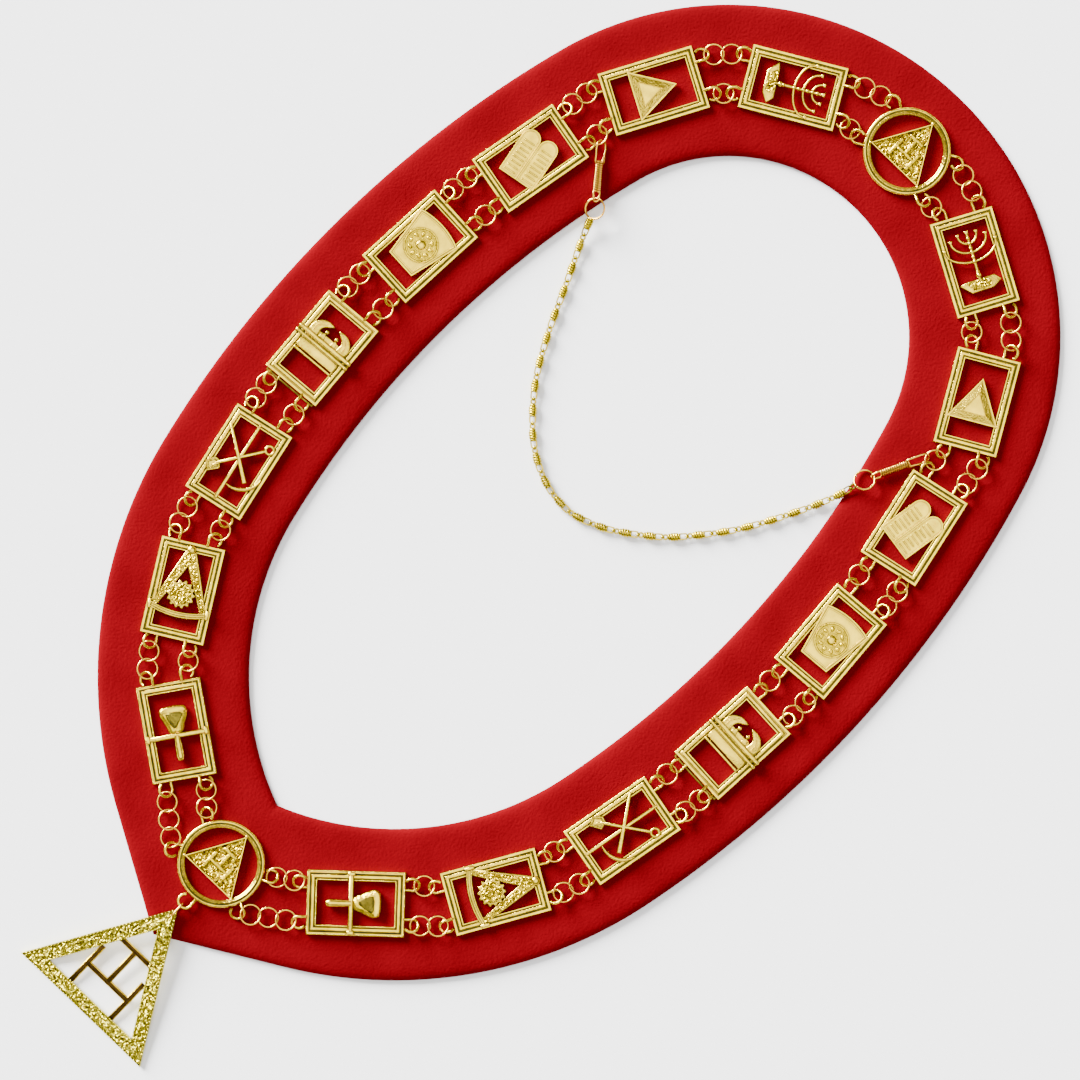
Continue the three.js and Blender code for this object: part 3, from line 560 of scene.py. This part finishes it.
# Twin round topped tablets, leaning, each with a border and plain raised lines
def twin_tablets():
    made = []
    half, foot, shoulder = 4.3, -10.9, 6.6
    border = [(0.12, 0.15), (0.4, 0.0), (0.12, -0.22), (0.3, 0.0), (0.1, 0.12)]
    for side in (-1, 1):
        cx = side * half
        top = [(cx + half * math.cos(math.radians(a)), shoulder + half * math.sin(math.radians(a)))
               for a in range(0, 181, 12)]
        made.append(carved([(cx - half, foot), (cx + half, foot), *top], 0.7, 1.6, border, polished, 30))
        for row in range(8):
            y = foot + 1.9 + row * 2.05
            reach = 2.7 - 0.35 * (row * 7 % 3)
            made.append(cast_bar(cx - 2.7, y, cx + reach, y, 0.55, 1.6, 2.75, polished, 0.15))
    leaning = joined(made, "tablets")
    leaning.data.transform(Matrix.Rotation(math.radians(-21), 4, "Z"))
    return plaque_frame() + [leaning]


# Arched keystone with a double border, a matted ring, a boss and plain bumps between
def arched_keystone():
    shares = (1, 0.75, 0.5, 0.25, 0, -0.25, -0.5, -0.75, -1)
    arch = [(11.2 * share, 13 - 2 * share * share) for share in shares]
    double = [(0.15, 0.2), (0.45, 0.0), (0.12, -0.35), (0.25, 0.0), (0.12, 0.35), (0.35, 0.0),
              (0.12, -0.25)]
    made = plaque_frame()
    made.append(carved([(-6.9, -11.2), (6.9, -11.2), *arch], 0.7, 1.7, double, polished, 30))
    ring = [(0.12, 0.2), (0.45, 0.0), (0.12, -0.35), (0.2, 0.0), (0.1, 0.25), (0.3, 0.0), (0.12, -0.3),
            (3.0, 0.0), (0.12, 0.3), (0.3, 0.0), (0.12, -0.25)]
    made.append(carved(round_outline(7.4, 48, 0, 0, 0.6), 0.7, 2.2, ring, matted, 30))
    made.append(dome(0, 0.6, 2.5, 2.2, 0.8, polished, 10))
    for i in range(10):
        turn = 2 * math.pi * i / 10 + 0.3
        lump = flowing([(-0.9, -0.6), (0.9, -0.4), (0.75, 0.55), (-0.7, 0.65)], 2)
        bump = cast(lump, 2.2, 3.3, matted, 0.25)
        bump.data.transform(Matrix.Translation((4.6 * math.cos(turn), 0.6 + 4.6 * math.sin(turn), 0))
                            @ Matrix.Rotation(turn * 2.3, 4, "Z"))
        made.append(bump)
    return made


# Moulded chest on two carrying poles, with two winged figures bowing over its lid
def winged_chest():
    made = plaque_frame()
    made.append(cast(box_outline(9.6, 5.0), 0.7, 2.4, polished, 0.3))
    for low, high, top in [(-7.3, -6.3, 3.0), (-5.7, -1.6, 2.8), (0.6, 2.9, 3.2)]:
        made.append(cast([(-9.7, low), (9.7, low), (9.7, high), (-9.7, high)], 1.5, top, polished, 0.28))
    made[1].data.transform(Matrix.Translation((0, -2.3, 0)))
    for y, width in [(1.8, 1.7), (-0.5, 1.3)]:
        made.append(cast_bar(-13.2, y, 13.2, y, width, 1.4, 3.5, polished, 0.4))
        made += [dome(side * 12.9, y, 2.7, 1.05, 0.95, polished, 6) for side in (-1, 1)]
    wing = [(9.0, 2.4), (9.7, 5.4), (8.2, 8.4), (5.2, 10.2), (1.3, 10.0), (2.6, 8.6), (4.4, 7.4),
            (5.3, 5.4), (5.2, 2.4)]
    body = [(1.7, 2.6), (1.9, 4.4), (2.6, 5.6), (3.9, 4.8), (4.4, 2.6)]
    for side in (-1, 1):
        made.append(cast([(side * x, y) for x, y in flowing(wing, 3)], 0.9, 2.9, polished, 0.35))
        made.append(cast([(side * x, y) for x, y in flowing(body, 2)], 0.9, 2.6, polished, 0.3))
        made.append(dome(side * 2.5, 6.3, 2.0, 1.05, 1.0, polished, 6))
        for share in (0.3, 0.6):
            path = [(side * (8.3 - 1.6 * share), 3.4, 2.9), (side * (8.4 - 2.4 * share), 7.0 - share, 2.9),
                    (side * (3.9 + share), 9.5 - 1.2 * share, 2.9)]
            made.append(wire(path, 0.22, polished, sides=1))
    return made


# Shovel, pick and crowbar crossed over each other
def crossed_tools():
    made = plaque_frame()
    made.append(cast_bar(-0.4, -18.2, -0.4, 18.2, 1.5, 1.0, 2.5, polished, 0.35, 1.2))
    made.append(cast_bar(-8.0, -5.6, 7.3, 9.8, 1.2, 1.3, 2.9, polished, 0.35))
    made.append(wire(oval(8.4, 10.9, 1.7, 1.7, 0, 330, 12, 2.3), 0.62, polished, closed=True))
    blade = [(-12.3, -6.8), (-9.2, -10.1), (-5.3, -6.7), (-6.8, -3.5), (-9.5, -3.3)]
    made.append(carved(blade, 0.9, 1.6, [(0.15, 0.25), (0.35, 0.1), (0.9, -0.3)], polished, 15))
    made.append(cast_bar(-8.8, -7.2, -6.6, -4.6, 0.8, 2.2, 3.1, polished, 0.25))
    made.append(cast_bar(-11.2, 11.8, 6.9, -6.4, 1.0, 1.5, 3.0, polished, 0.3, 1.7))
    head = oval(2.3, -1.0, 9.7, 9.7, -101, -5, 8, 2.4)
    made.append(wire(head, 0.85, polished, sides=3, weights=[0.25, 0.6, 0.85, 1, 1, 1, 0.85, 0.6, 0.25]))
    return made


# Open dividers over a quadrant, with a rayed sun between the legs
def dividers_and_sun():
    made = plaque_frame()
    for side in (-1, 1):
        leg = [(0.2, 17.8), (2.3, 16.6), (11.9, -7.9), (9.5, -8.5), (-0.4, 10.8)]
        made.append(cast([(side * x, y) for x, y in leg], 0.9, 2.4, polished, 0.3))
        field = [(0.3, 17.0), (1.8, 16.0), (11.3, -7.6), (10.0, -8.0), (-0.1, 11.6)]
        made.append(hammered([(side * x, y) for x, y in field], 1.4, 2.55, 0.8, 0.45, matted))
    made.append(dome(0, 17.4, 2.2, 2.0, 1.2, polished, 8))
    sweep = 36
    arc = [(x, -10.2 + sweep - math.sqrt(sweep ** 2 - x * x))
           for x in (-12.4, -9.3, -6.2, -3.1, 0, 3.1, 6.2, 9.3, 12.4)]
    quadrant = [(x, y - 1.2) for x, y in arc] + [(x, y + 1.2) for x, y in arc[::-1]]
    made.append(cast(quadrant, 0.9, 2.2, polished, 0.25))
    for shift in (-0.85, 0.85):
        made.append(wire([(x, y + shift, 2.35) for x, y in arc], 0.42, polished))
    end = arc[-1][1]
    made += [cast_bar(side * 12.3, end - 2.0, side * 12.3, end + 2.0, 1.3, 1.5, 2.9, polished, 0.3)
             for side in (-1, 1)]
    rays = [tuple(Vector((-0.3, -1.6)) + (6.0 if i % 4 < 2 else 5.1) * Vector((math.cos(a), math.sin(a))))
            for i, a in enumerate(2 * math.pi * k / 56 for k in range(56))]
    made.append(cast(rays, 0.9, 2.8, polished, 0.25))
    made.append(hammered(round_outline(4.5, 18, 0, -0.3, -1.6), 1.6, 3.1, 1.0, 0.5, matted))
    return made


# Trowel across a bar: a swelling handle and a broad blade with one bright facet, and a flat dark piece of
# painted shade that stands in for the sloping facet in shadow
def trowel():
    made = plaque_frame(beaded=True)
    made.append(cast_bar(-12.6, -2, 12.6, -2, 1.9, 0.9, 2.9, polished, 0.5))
    made += [cast_bar(side * 12.3, -3.6, side * 12.3, -0.4, 1.8, 1.2, 3.1, polished, 0.5)
             for side in (-1, 1)]
    made.append(wire([(0, y, 2.2) for y in (-12.6, -12.2, -11, -8, -5, -2)], 1.22, polished, sides=5,
                     weights=[0.6, 1.15, 1.45, 1.4, 1.25, 1.1]))
    blade = flowing([(-2.3, -1.4), (2.3, -1.4), (4.1, 2.6), (5.9, 7.0), (5.2, 9.9), (1.8, 10.6),
                     (-1.8, 10.6), (-5.2, 9.9), (-5.9, 7.0), (-4.1, 2.6)], 3)
    made.append(carved(blade, 0.7, 0.9, [(0.25, 0.5), (0.5, 0.45), (0.9, 0.5), (0.5, 0.1)], matted, 40))
    # painted shade: this low flat piece is coloured dark to stand in for the shade on the sloping facet
    shaded_facet = flowing([(-0.6, 1.0), (2.6, 4.4), (3.6, 7.4), (-3.2, 7.4)], 3)
    made.append(cast(shaded_facet, 1.3, 3.32, shadowed, 0.2))
    facet = flowing([(-4.7, 7.6), (4.7, 7.6), (4.6, 9.6), (1.6, 10.2), (-1.6, 10.2), (-4.6, 9.6)], 3)
    made.append(cast(facet, 1.3, 3.2, polished, 0.3))
    return made


makers = {
    "menorah": lampstand, "triangle": stepped_triangle, "tablets": twin_tablets,
    "keystone": arched_keystone, "ark": winged_chest, "tools": crossed_tools,
    "sun": dividers_and_sun, "trowel": trowel,
}
leaning_outwards = {"tablets"}

# Where each casting lies on the right arm, and how far it is turned there and on the mirrored left arm
plaque_places = [
    ("menorah", 52.661, 219.592, 60.616, -60.616),
    ("triangle", 93.774, 178.28, 29.107, -29.107),
    ("tablets", 111.288, 122.16, 11.397, -11.397),
    ("keystone", 119.076, 63.695, 3.776, -3.776),
    ("ark", 119.04, 4.714, -3.845, 3.845),
    ("tools", 111.183, -53.742, -11.466, 11.466),
    ("sun", 90.789, -108.797, -30.773, 30.773),
    ("trowel", 52.019, -152.86, -47.915, 53.915),
]
hook_radius = 2.95
hook_wire = 0.62
hook_inset = 5
hook_level = 5.4
hook_lean = 30
circle_radius = 18.5
circle_back = (0.0, 233.4)
circle_front = (0.0, -179.968)


def hook_rows(arm):
    x = plaque_size[0] / 2 - hook_inset
    y = plaque_size[1] / 2 + hook_radius
    return [
        {"x": arm * x, "y": y, "turn": 0, "side": arm, "strand": "outer", "end": "near"},
        {"x": -arm * x, "y": y, "turn": 0, "side": -arm, "strand": "inner", "end": "near"},
        {"x": arm * x, "y": -y, "turn": math.pi, "side": -arm, "strand": "outer", "end": "far"},
        {"x": -arm * x, "y": -y, "turn": math.pi, "side": arm, "strand": "inner", "end": "far"},
    ]


def circle_hook_rows(rows, arm):
    made = []
    for angle, strand, side in rows:
        turn = math.radians(angle)
        reach = circle_radius + hook_radius
        made.append({"x": arm * reach * math.sin(turn), "y": reach * math.cos(turn), "turn": -arm * turn,
                     "side": arm * side, "strand": strand, "end": "both"})
    return made


def hook_place(place, row):
    turned = Matrix.Rotation(place["angle"], 2) @ Vector((row["x"], row["y"]))
    return Vector((place["x"], place["y"])) + turned


# Wire bent round a peg, soldered under the frame's edge at one side and closed towards it at the other
def hook(row):
    axis = Vector((math.cos(row["line"]), math.sin(row["line"]), 0))
    lean = Matrix.Rotation(row["lean"] * math.radians(hook_lean), 3, axis)
    path = []
    for angle in range(198, -56, -18):
        turn = math.radians(angle)
        path.append(lean @ (Vector((row["side"] * math.cos(turn), math.sin(turn), 0)) * hook_radius))
    path.insert(0, Vector((path[0].x, -hook_radius - 0.9, plaque_floor + 1.0 - hook_level)))
    piece = wire(path, hook_wire, polished, sides=3)
    piece.data.transform(Matrix.Translation((row["x"], row["y"], hook_level - plaque_floor))
                         @ Matrix.Rotation(row["turn"], 4, "Z"))
    return piece


def set_down(piece, place, node):
    piece.data.transform(Matrix.Scale(MM, 4) @ place)
    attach(piece, "root")
    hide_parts(node)


def pieces_of_arm(arm):
    back = circle_hook_rows([(60, "outer", 1), (117.5, "inner", -1)], arm)
    front = circle_hook_rows([(117.5, "outer", 1), (60, "inner", -1)], arm)
    pieces = [{"name": "circle_back", "x": circle_back[0], "y": circle_back[1], "angle": 0, "hooks": back}]
    for motif, x, y, right_turn, left_turn in plaque_places:
        turn = math.radians(right_turn if arm > 0 else left_turn)
        pieces.append({"name": motif, "x": arm * x, "y": y, "angle": turn, "hooks": hook_rows(arm)})
    pieces.append({"name": "circle_front", "x": circle_front[0], "y": circle_front[1], "angle": 0,
                   "hooks": front})
    return pieces


# Every strand runs from a hook of one casting to a hook of the next, and both lean across its rings
def strands_of_arm(pieces):
    strands = []
    for i, (here, there) in enumerate(zip(pieces, pieces[1:])):
        at_point = i == len(pieces) - 2
        for strand, count in [("inner", 2 if at_point else 1), ("outer", 3 if at_point else 2)]:
            first = next(row for row in here["hooks"] if row["strand"] == strand and row["end"] != "near")
            other = next(row for row in there["hooks"] if row["strand"] == strand and row["end"] != "far")
            start, end = hook_place(here, first), hook_place(there, other)
            line = math.atan2(end.y - start.y, end.x - start.x)
            first.update(line=line - here["angle"] - first["turn"], lean=-1)
            other.update(line=line - there["angle"] - other["turn"], lean=-1 if count % 2 else 1)
            strands.append({"name": f"{strand}_{i + 1}", "start": start, "end": end, "line": line,
                            "count": count})
    return strands


arms = {side: pieces_of_arm(arm) for side, arm in [("right", 1), ("left", -1)]}
strands = {side: strands_of_arm(pieces) for side, pieces in arms.items()}

for motif, maker in makers.items():
    model = joined(maker(), "casting")
    for side in arms:
        place = next(piece for piece in arms[side] if piece["name"] == motif)
        casting = bpy.data.objects.new("casting", model.data.copy())
        bpy.context.collection.objects.link(casting)
        if side == "left" and motif in leaning_outwards:
            casting.data.transform(Matrix.Diagonal((-1, 1, 1, 1)))
            casting.data.flip_normals()
        whole = joined([casting, *[hook(row) for row in place["hooks"]]], f"cast_{motif}_{side}")
        spot = (Matrix.Translation((place["x"], place["y"], plaque_floor))
                @ Matrix.Rotation(place["angle"], 4, "Z"))
        set_down(whole, spot, f"plaque_{motif}_{side}")
    bpy.data.objects.remove(model)


# The round plaques, at the back of the neck and at the point. A rounded hoop holds a bordered triangle,
# its ground hammered and its three joined taus raised.
def triangle_outline(radius):
    turns = (0, 4 * math.pi / 3, 2 * math.pi / 3)
    return [(radius * math.sin(turn), radius * math.cos(turn)) for turn in turns]


def joined_taus(radius, width):
    top, cross, post = radius * 0.51, -radius * 0.12, radius * 0.42
    half = (radius - top) * math.tan(math.radians(30)) + width / 4
    foot, head = -radius * 0.55, radius * 0.24
    return [(-half, top, half, top), (0, cross, 0, top), (-post, cross, post, cross),
            (-post, foot, -post, head), (post, foot, post, head)]


def round_plaque():
    hoop = [(0.12, 0.3), (0.25, 0.3), (0.35, 0.22), (0.4, 0.0), (0.15, -0.6), (0.6, 0.0), (0.12, 0.65),
            (0.3, 0.1), (0.3, -0.15), (0.2, -0.3), (0.1, 0.0), (0.2, 0.25), (0.15, -0.1)]
    made = [moulded_rim(round_outline(circle_radius, 96), 1.5, hoop, polished)]
    made.append(shaded_groove_floor(round_outline(circle_radius - 1.24, 96), 0.66, 1.76))
    border = [(0.15, 0.25), (0.3, 0.0), (0.2, -0.3)]
    made.append(moulded_rim(triangle_outline(15.8), 2.4, border, polished, 20))
    made.append(hammered(triangle_outline(14.9), 0.7, 1.7, 0.9, 0.45, matted))
    made += [cast_bar(*row, 1.7, 1.0, 2.7, matted, 0.5) for row in joined_taus(11.5, 1.7)]
    made += [dome(x, y, 1.9, 0.9, 0.9, polished, 5) for x, y in triangle_outline(15.7)]
    return made


for name, spot in [("circle_back", circle_back), ("circle_front", circle_front)]:
    rows = [row for side in arms for piece in arms[side] if piece["name"] == name for row in piece["hooks"]]
    if name == "circle_front":
        rows.append({"x": 0, "y": -circle_radius - hook_radius, "turn": math.pi, "side": 1, "line": 0,
                     "lean": 0})
    whole = joined([*round_plaque(), *[hook(row) for row in rows]], "cast_" + name)
    set_down(whole, Matrix.Translation((*spot, plaque_floor)), name)


# The jump rings. Each is a turn of thin gilt wire, and rings of one strand lean to either side.
ring_radius = 4.2
ring_wire = 0.4
ring_lean = 12
ring_pitch = 7.45

ring_gilding = finished("ring_gilding", 1, 0.0001, bright=(0.9, 0.5, 0.05), deep=(0.3, 0.12, 0.015),
                        patch_scale=300, grain_scale=1500, dent=1.0, depth_reach=0.001, patchiness=0.2,
                        smooth=0.06, rough=0.2)


def jump_ring(spot, radius, thickness, lean, turn):
    bpy.ops.mesh.primitive_torus_add(major_segments=40, minor_segments=10,
                                     major_radius=radius, minor_radius=thickness)
    piece = bpy.context.object
    piece.data.transform(Matrix.Translation(spot) @ Matrix.Rotation(turn, 4, "Z")
                         @ Matrix.Rotation(lean, 4, "Y"))
    return gilded(piece, ring_gilding, 60)


for side in strands:
    for strand in strands[side]:
        along = strand["end"] - strand["start"]
        reach = (along.length - (strand["count"] - 1) * ring_pitch) / 2
        rings = []
        for i in range(strand["count"]):
            spot = strand["start"] + along.normalized() * (reach + i * ring_pitch)
            lean = math.radians(-ring_lean if i % 2 else ring_lean)
            turn = strand["line"] - math.pi / 2
            rings.append(jump_ring((*spot, hook_level), ring_radius, ring_wire, lean, turn))
        whole = joined(rings, f"jump_rings_{strand['name']}_{side}")
        set_down(whole, Matrix(), f"rings_{strand['name']}_{side}")


# The drop. A flat triangular jewel with a hammered border between rolled bead edges, and three joined
# taus of gilt bars across its opening, their flat tops given a painted reflection in dark gilt.
# A long ring on edge carries it from the front plaque.
drop_side = 69
drop_bar = 6.35
drop_apex = (0, -205.593, 4.877)
drop_slope = 0.0817
drop_radius = drop_side / math.sqrt(3)
drop_opening = drop_radius - 2 * drop_bar
drop_link_ends = (-202.743, -209.993)
drop_link_level = 5.418

# painted reflection: a dark brown gilt colour stands in for the dark surroundings that the taus' polished
# tops mirror
painted_reflection_gilding = finished("painted_reflection_gilding", 1, 0.0002, bright=(0.05, 0.025, 0.004), deep=(0.014, 0.007, 0.002),
                        patch_scale=300, grain_scale=1200, dent=1.0, depth_reach=0.001, patchiness=0.6,
                        smooth=0.1, rough=0.3)

drop_gilding = finished("drop_gilding", 1, 0.00045, bright=(0.77, 0.65, 0.035), deep=(0.045, 0.036, 0.004),
                        patch_scale=500, grain_scale=850, dent=0.6, depth_reach=0.0014, patchiness=0.35,
                        smooth=0.12, rough=0.3)

rim = [(0.12, 0.3), (0.35, 0.0), (0.12, -0.35), (4.95, 0.0), (0.12, 0.35), (0.35, 0.0), (0.12, -0.3)]
drop = [moulded_rim(triangle_outline(drop_radius), 1.2, rim, drop_gilding, 20)]
outer, inner = triangle_outline(drop_radius - 2.1), triangle_outline(drop_opening + 1.4)
for i in range(3):
    k = (i + 1) % 3
    drop.append(hammered([outer[i], outer[k], inner[k], inner[i]], 0.6, 1.35, 1.1, 0.42, drop_gilding))
drop.append(shaded_groove_floor(triangle_outline(drop_radius - 0.28), 0.31, 1.54))
drop += bead_border(triangle_outline(drop_radius - 0.9), 1.5, 0.45, 1.5, drop_gilding)
drop += bead_border(triangle_outline(drop_opening + 0.75), 1.5, 0.4, 1.1, drop_gilding)
for row in joined_taus(drop_opening + 0.4, 2.5):
    drop.append(cast_bar(*row, 2.5, 0.3, 1.15, polished, 0.3))
    drop.append(cast_bar(*row, 1.7, 0.9, 1.35, painted_reflection_gilding, 0.1))
whole = joined(drop, "hammered_drop")
tilt = (Matrix.Translation(drop_apex) @ Matrix.Rotation(drop_slope, 4, "X")
        @ Matrix.Translation((0, -drop_radius, 0)))
set_down(whole, tilt, "pendant")

turn_radius = 1.8
middle = sum(drop_link_ends) / 2
straight = (drop_link_ends[0] - drop_link_ends[1]) / 2 - turn_radius
path = []
for end in (1, -1):
    for i in range(7):
        turn = math.radians(-90 + 30 * i)
        reach = straight + turn_radius * math.cos(turn)
        path.append((0, middle + end * reach, end * turn_radius * math.sin(turn)))
link = wire(path, ring_wire, ring_gilding, closed=True, sides=3)
link.name = "drop_link"
set_down(link, Matrix.Translation((0, 0, drop_link_level)), "pendant_ring")


# The clasps. Each is one length of springy wire: a long loop that grips a jump ring, a tight coil wound
# over its two legs, and a small eye for the chain.
clasp_wire = 0.42
clasp_places = [
    ("left", (-87.12, 138.21, 5.519), 45, 38),
    ("right", (89.444, 136.424, 5.665), 50, -26),
]


def wound_clasp():
    loop = oval(0, 10.3, 2.5, 2.5, 0, 180, 8, 0) + [(-2.5, 6, 0), (-2.0, 3, 0), (2.0, 3, 0), (2.5, 6, 0)]
    made = [wire(loop, clasp_wire, ring_gilding, closed=True, sides=3)]
    made.append(wire([(2.45, 9.4, 0.3), (1.9, 6.5, 0.4), (1.4, 3, 0.2)], clasp_wire, ring_gilding, sides=3))
    eye = oval(0, -11.2, 1.6, 1.6, 180, 360, 8, 0) + [(1.5, -8.4, 0), (-1.5, -8.4, 0)]
    made.append(wire(eye, clasp_wire, ring_gilding, closed=True, sides=3))
    turns, low, high = 14, -8.9, 4.3
    coil = [(1.75 * math.cos(math.pi * i / 4), low + (high - low) * i / (turns * 8),
             0.95 * math.sin(math.pi * i / 4)) for i in range(turns * 8 + 1)]
    made.append(wire(coil, clasp_wire, ring_gilding, sides=2))
    return made


for side, spot, roll, turn in clasp_places:
    clasp = joined(wound_clasp(), f"wound_clasp_{side}")
    place = Matrix.Rotation(math.radians(turn), 4, "Z") @ Matrix.Rotation(math.radians(roll), 4, "Y")
    set_down(clasp, Matrix.Translation(spot) @ place, f"clasp_{side}")


# The safety chain. Crimped barrel links and flat open links follow each other across the neck, and a
# split ring at each end hangs in the eye of its clasp.
chain_level = 1.6
chain_route = [
    (-72, 112.071), (-64.3, 95.071), (-55, 74.071), (-45, 56.371), (-33, 42.071), (-22.5, 33.671),
    (-12.2, 28.871), (-3.1, 27.171), (6.4, 27.771), (21, 33.871), (37.9, 46.171), (49.4, 58.471),
    (59.7, 72.071), (70, 90.071), (78, 107.071),
]
split_rings = [((-77.3, 125.641, 5.519), 142), ((82.452, 122.088, 5.665), 206)]
split_radius = 4.35
split_lean = math.radians(-24)
chain_repeat = 10.5
chain_end_lift = 0.6

chain_gilding = finished("chain_gilding", 1, 0.0001, bright=(0.55, 0.4, 0.003), deep=(0.05, 0.032, 0.002),
                         patch_scale=300, grain_scale=1500, dent=1.0, depth_reach=0.001, patchiness=0.3,
                         smooth=0.12, rough=0.3)


def chain_path():
    last = len(chain_route) - 1
    route = [Vector((x, y, chain_level + (chain_end_lift if i in (0, last) else 0)))
             for i, (x, y) in enumerate(chain_route)]
    ends = []
    for (spot, _), near in zip(split_rings, (route[0], route[-1])):
        towards = Vector((near.x - spot[0], near.y - spot[1], 0)).normalized()
        ends.append(Vector(spot) + towards * split_radius)
    knots = [ends[0], *route, ends[1]]
    path = []
    for i in range(len(knots) - 1):
        a, b = knots[max(i - 1, 0)], knots[i]
        c, d = knots[i + 1], knots[min(i + 2, len(knots) - 1)]
        for step in range(24):
            t = step / 24
            path.append(0.5 * (2 * b + (c - a) * t + (2 * a - 5 * b + 4 * c - d) * t ** 2
                               + (3 * b - a - 3 * c + d) * t ** 3))
    return path + [knots[-1]]


def spot_at(path, length):
    walked = 0
    for a, b in zip(path, path[1:]):
        step = (b - a).length
        if walked + step >= length:
            return a.lerp(b, (length - walked) / step), (b - a).normalized()
        walked += step
    return path[-1], (path[-1] - path[-2]).normalized()


def upright_ring(x, radius, thickness, turn, material):
    bpy.ops.mesh.primitive_torus_add(major_segments=14, minor_segments=6,
                                     major_radius=radius, minor_radius=thickness)
    piece = bpy.context.object
    piece.data.transform(Matrix.Translation((x, 0, 0)) @ turn)
    return gilded(piece, material, 60)


def crimped_link():
    turn = Matrix.Rotation(math.radians(90), 4, "Y")
    ridges = [upright_ring(x, radius, 0.58, turn, chain_gilding)
              for x, radius in [(-2.1, 0.95), (-1.05, 1.25), (0, 1.3), (1.05, 1.25), (2.1, 0.95)]]
    link = joined(ridges, "crimped_link")
    link.data.transform(Matrix.Diagonal((1, 1, 0.8, 1)))
    return link


def open_link():
    outline = flowing([(-1.8, -0.9), (-1.4, -1.4), (1.4, -1.4), (1.8, -0.9),
                       (1.8, 0.9), (1.4, 1.4), (-1.4, 1.4), (-1.8, 0.9)], 2)
    piece = moulded_rim(outline, 0.5, [(0.12, 0.25), (0.35, 0.0), (0.12, -0.25)], chain_gilding, 20)
    piece.data.transform(Matrix.Translation((0, 0, -0.35)))
    return piece


path = chain_path()
length = sum((b - a).length for a, b in zip(path, path[1:]))
on_edge = Matrix.Rotation(math.radians(90), 4, "X")
pattern = [(crimped_link(), 2.5), (open_link(), 6.2),
           (upright_ring(0, 0.75, 0.32, on_edge, chain_gilding), 7.9),
           (upright_ring(0, 0.95, 0.4, Matrix(), chain_gilding), 9.2)]
links = []
repeats = round(length / chain_repeat)
for n in range(repeats):
    for model, offset in pattern:
        spot, along = spot_at(path, (n + offset / chain_repeat) * length / repeats)
        link = bpy.data.objects.new("link", model.data.copy())
        bpy.context.collection.objects.link(link)
        link.data.transform(Matrix.Translation(spot) @ along.to_track_quat("X", "Z").to_matrix().to_4x4())
        links.append(link)
for model, _ in pattern:
    bpy.data.objects.remove(model)
for spot, heading in split_rings:
    turn = math.radians(180 - heading)
    links += [jump_ring((spot[0], spot[1], spot[2] + lift), split_radius, ring_wire, split_lean, turn)
              for lift in (-0.25, 0.35)]
set_down(joined(links, "fancy_chain"), Matrix(), "safety_chain")
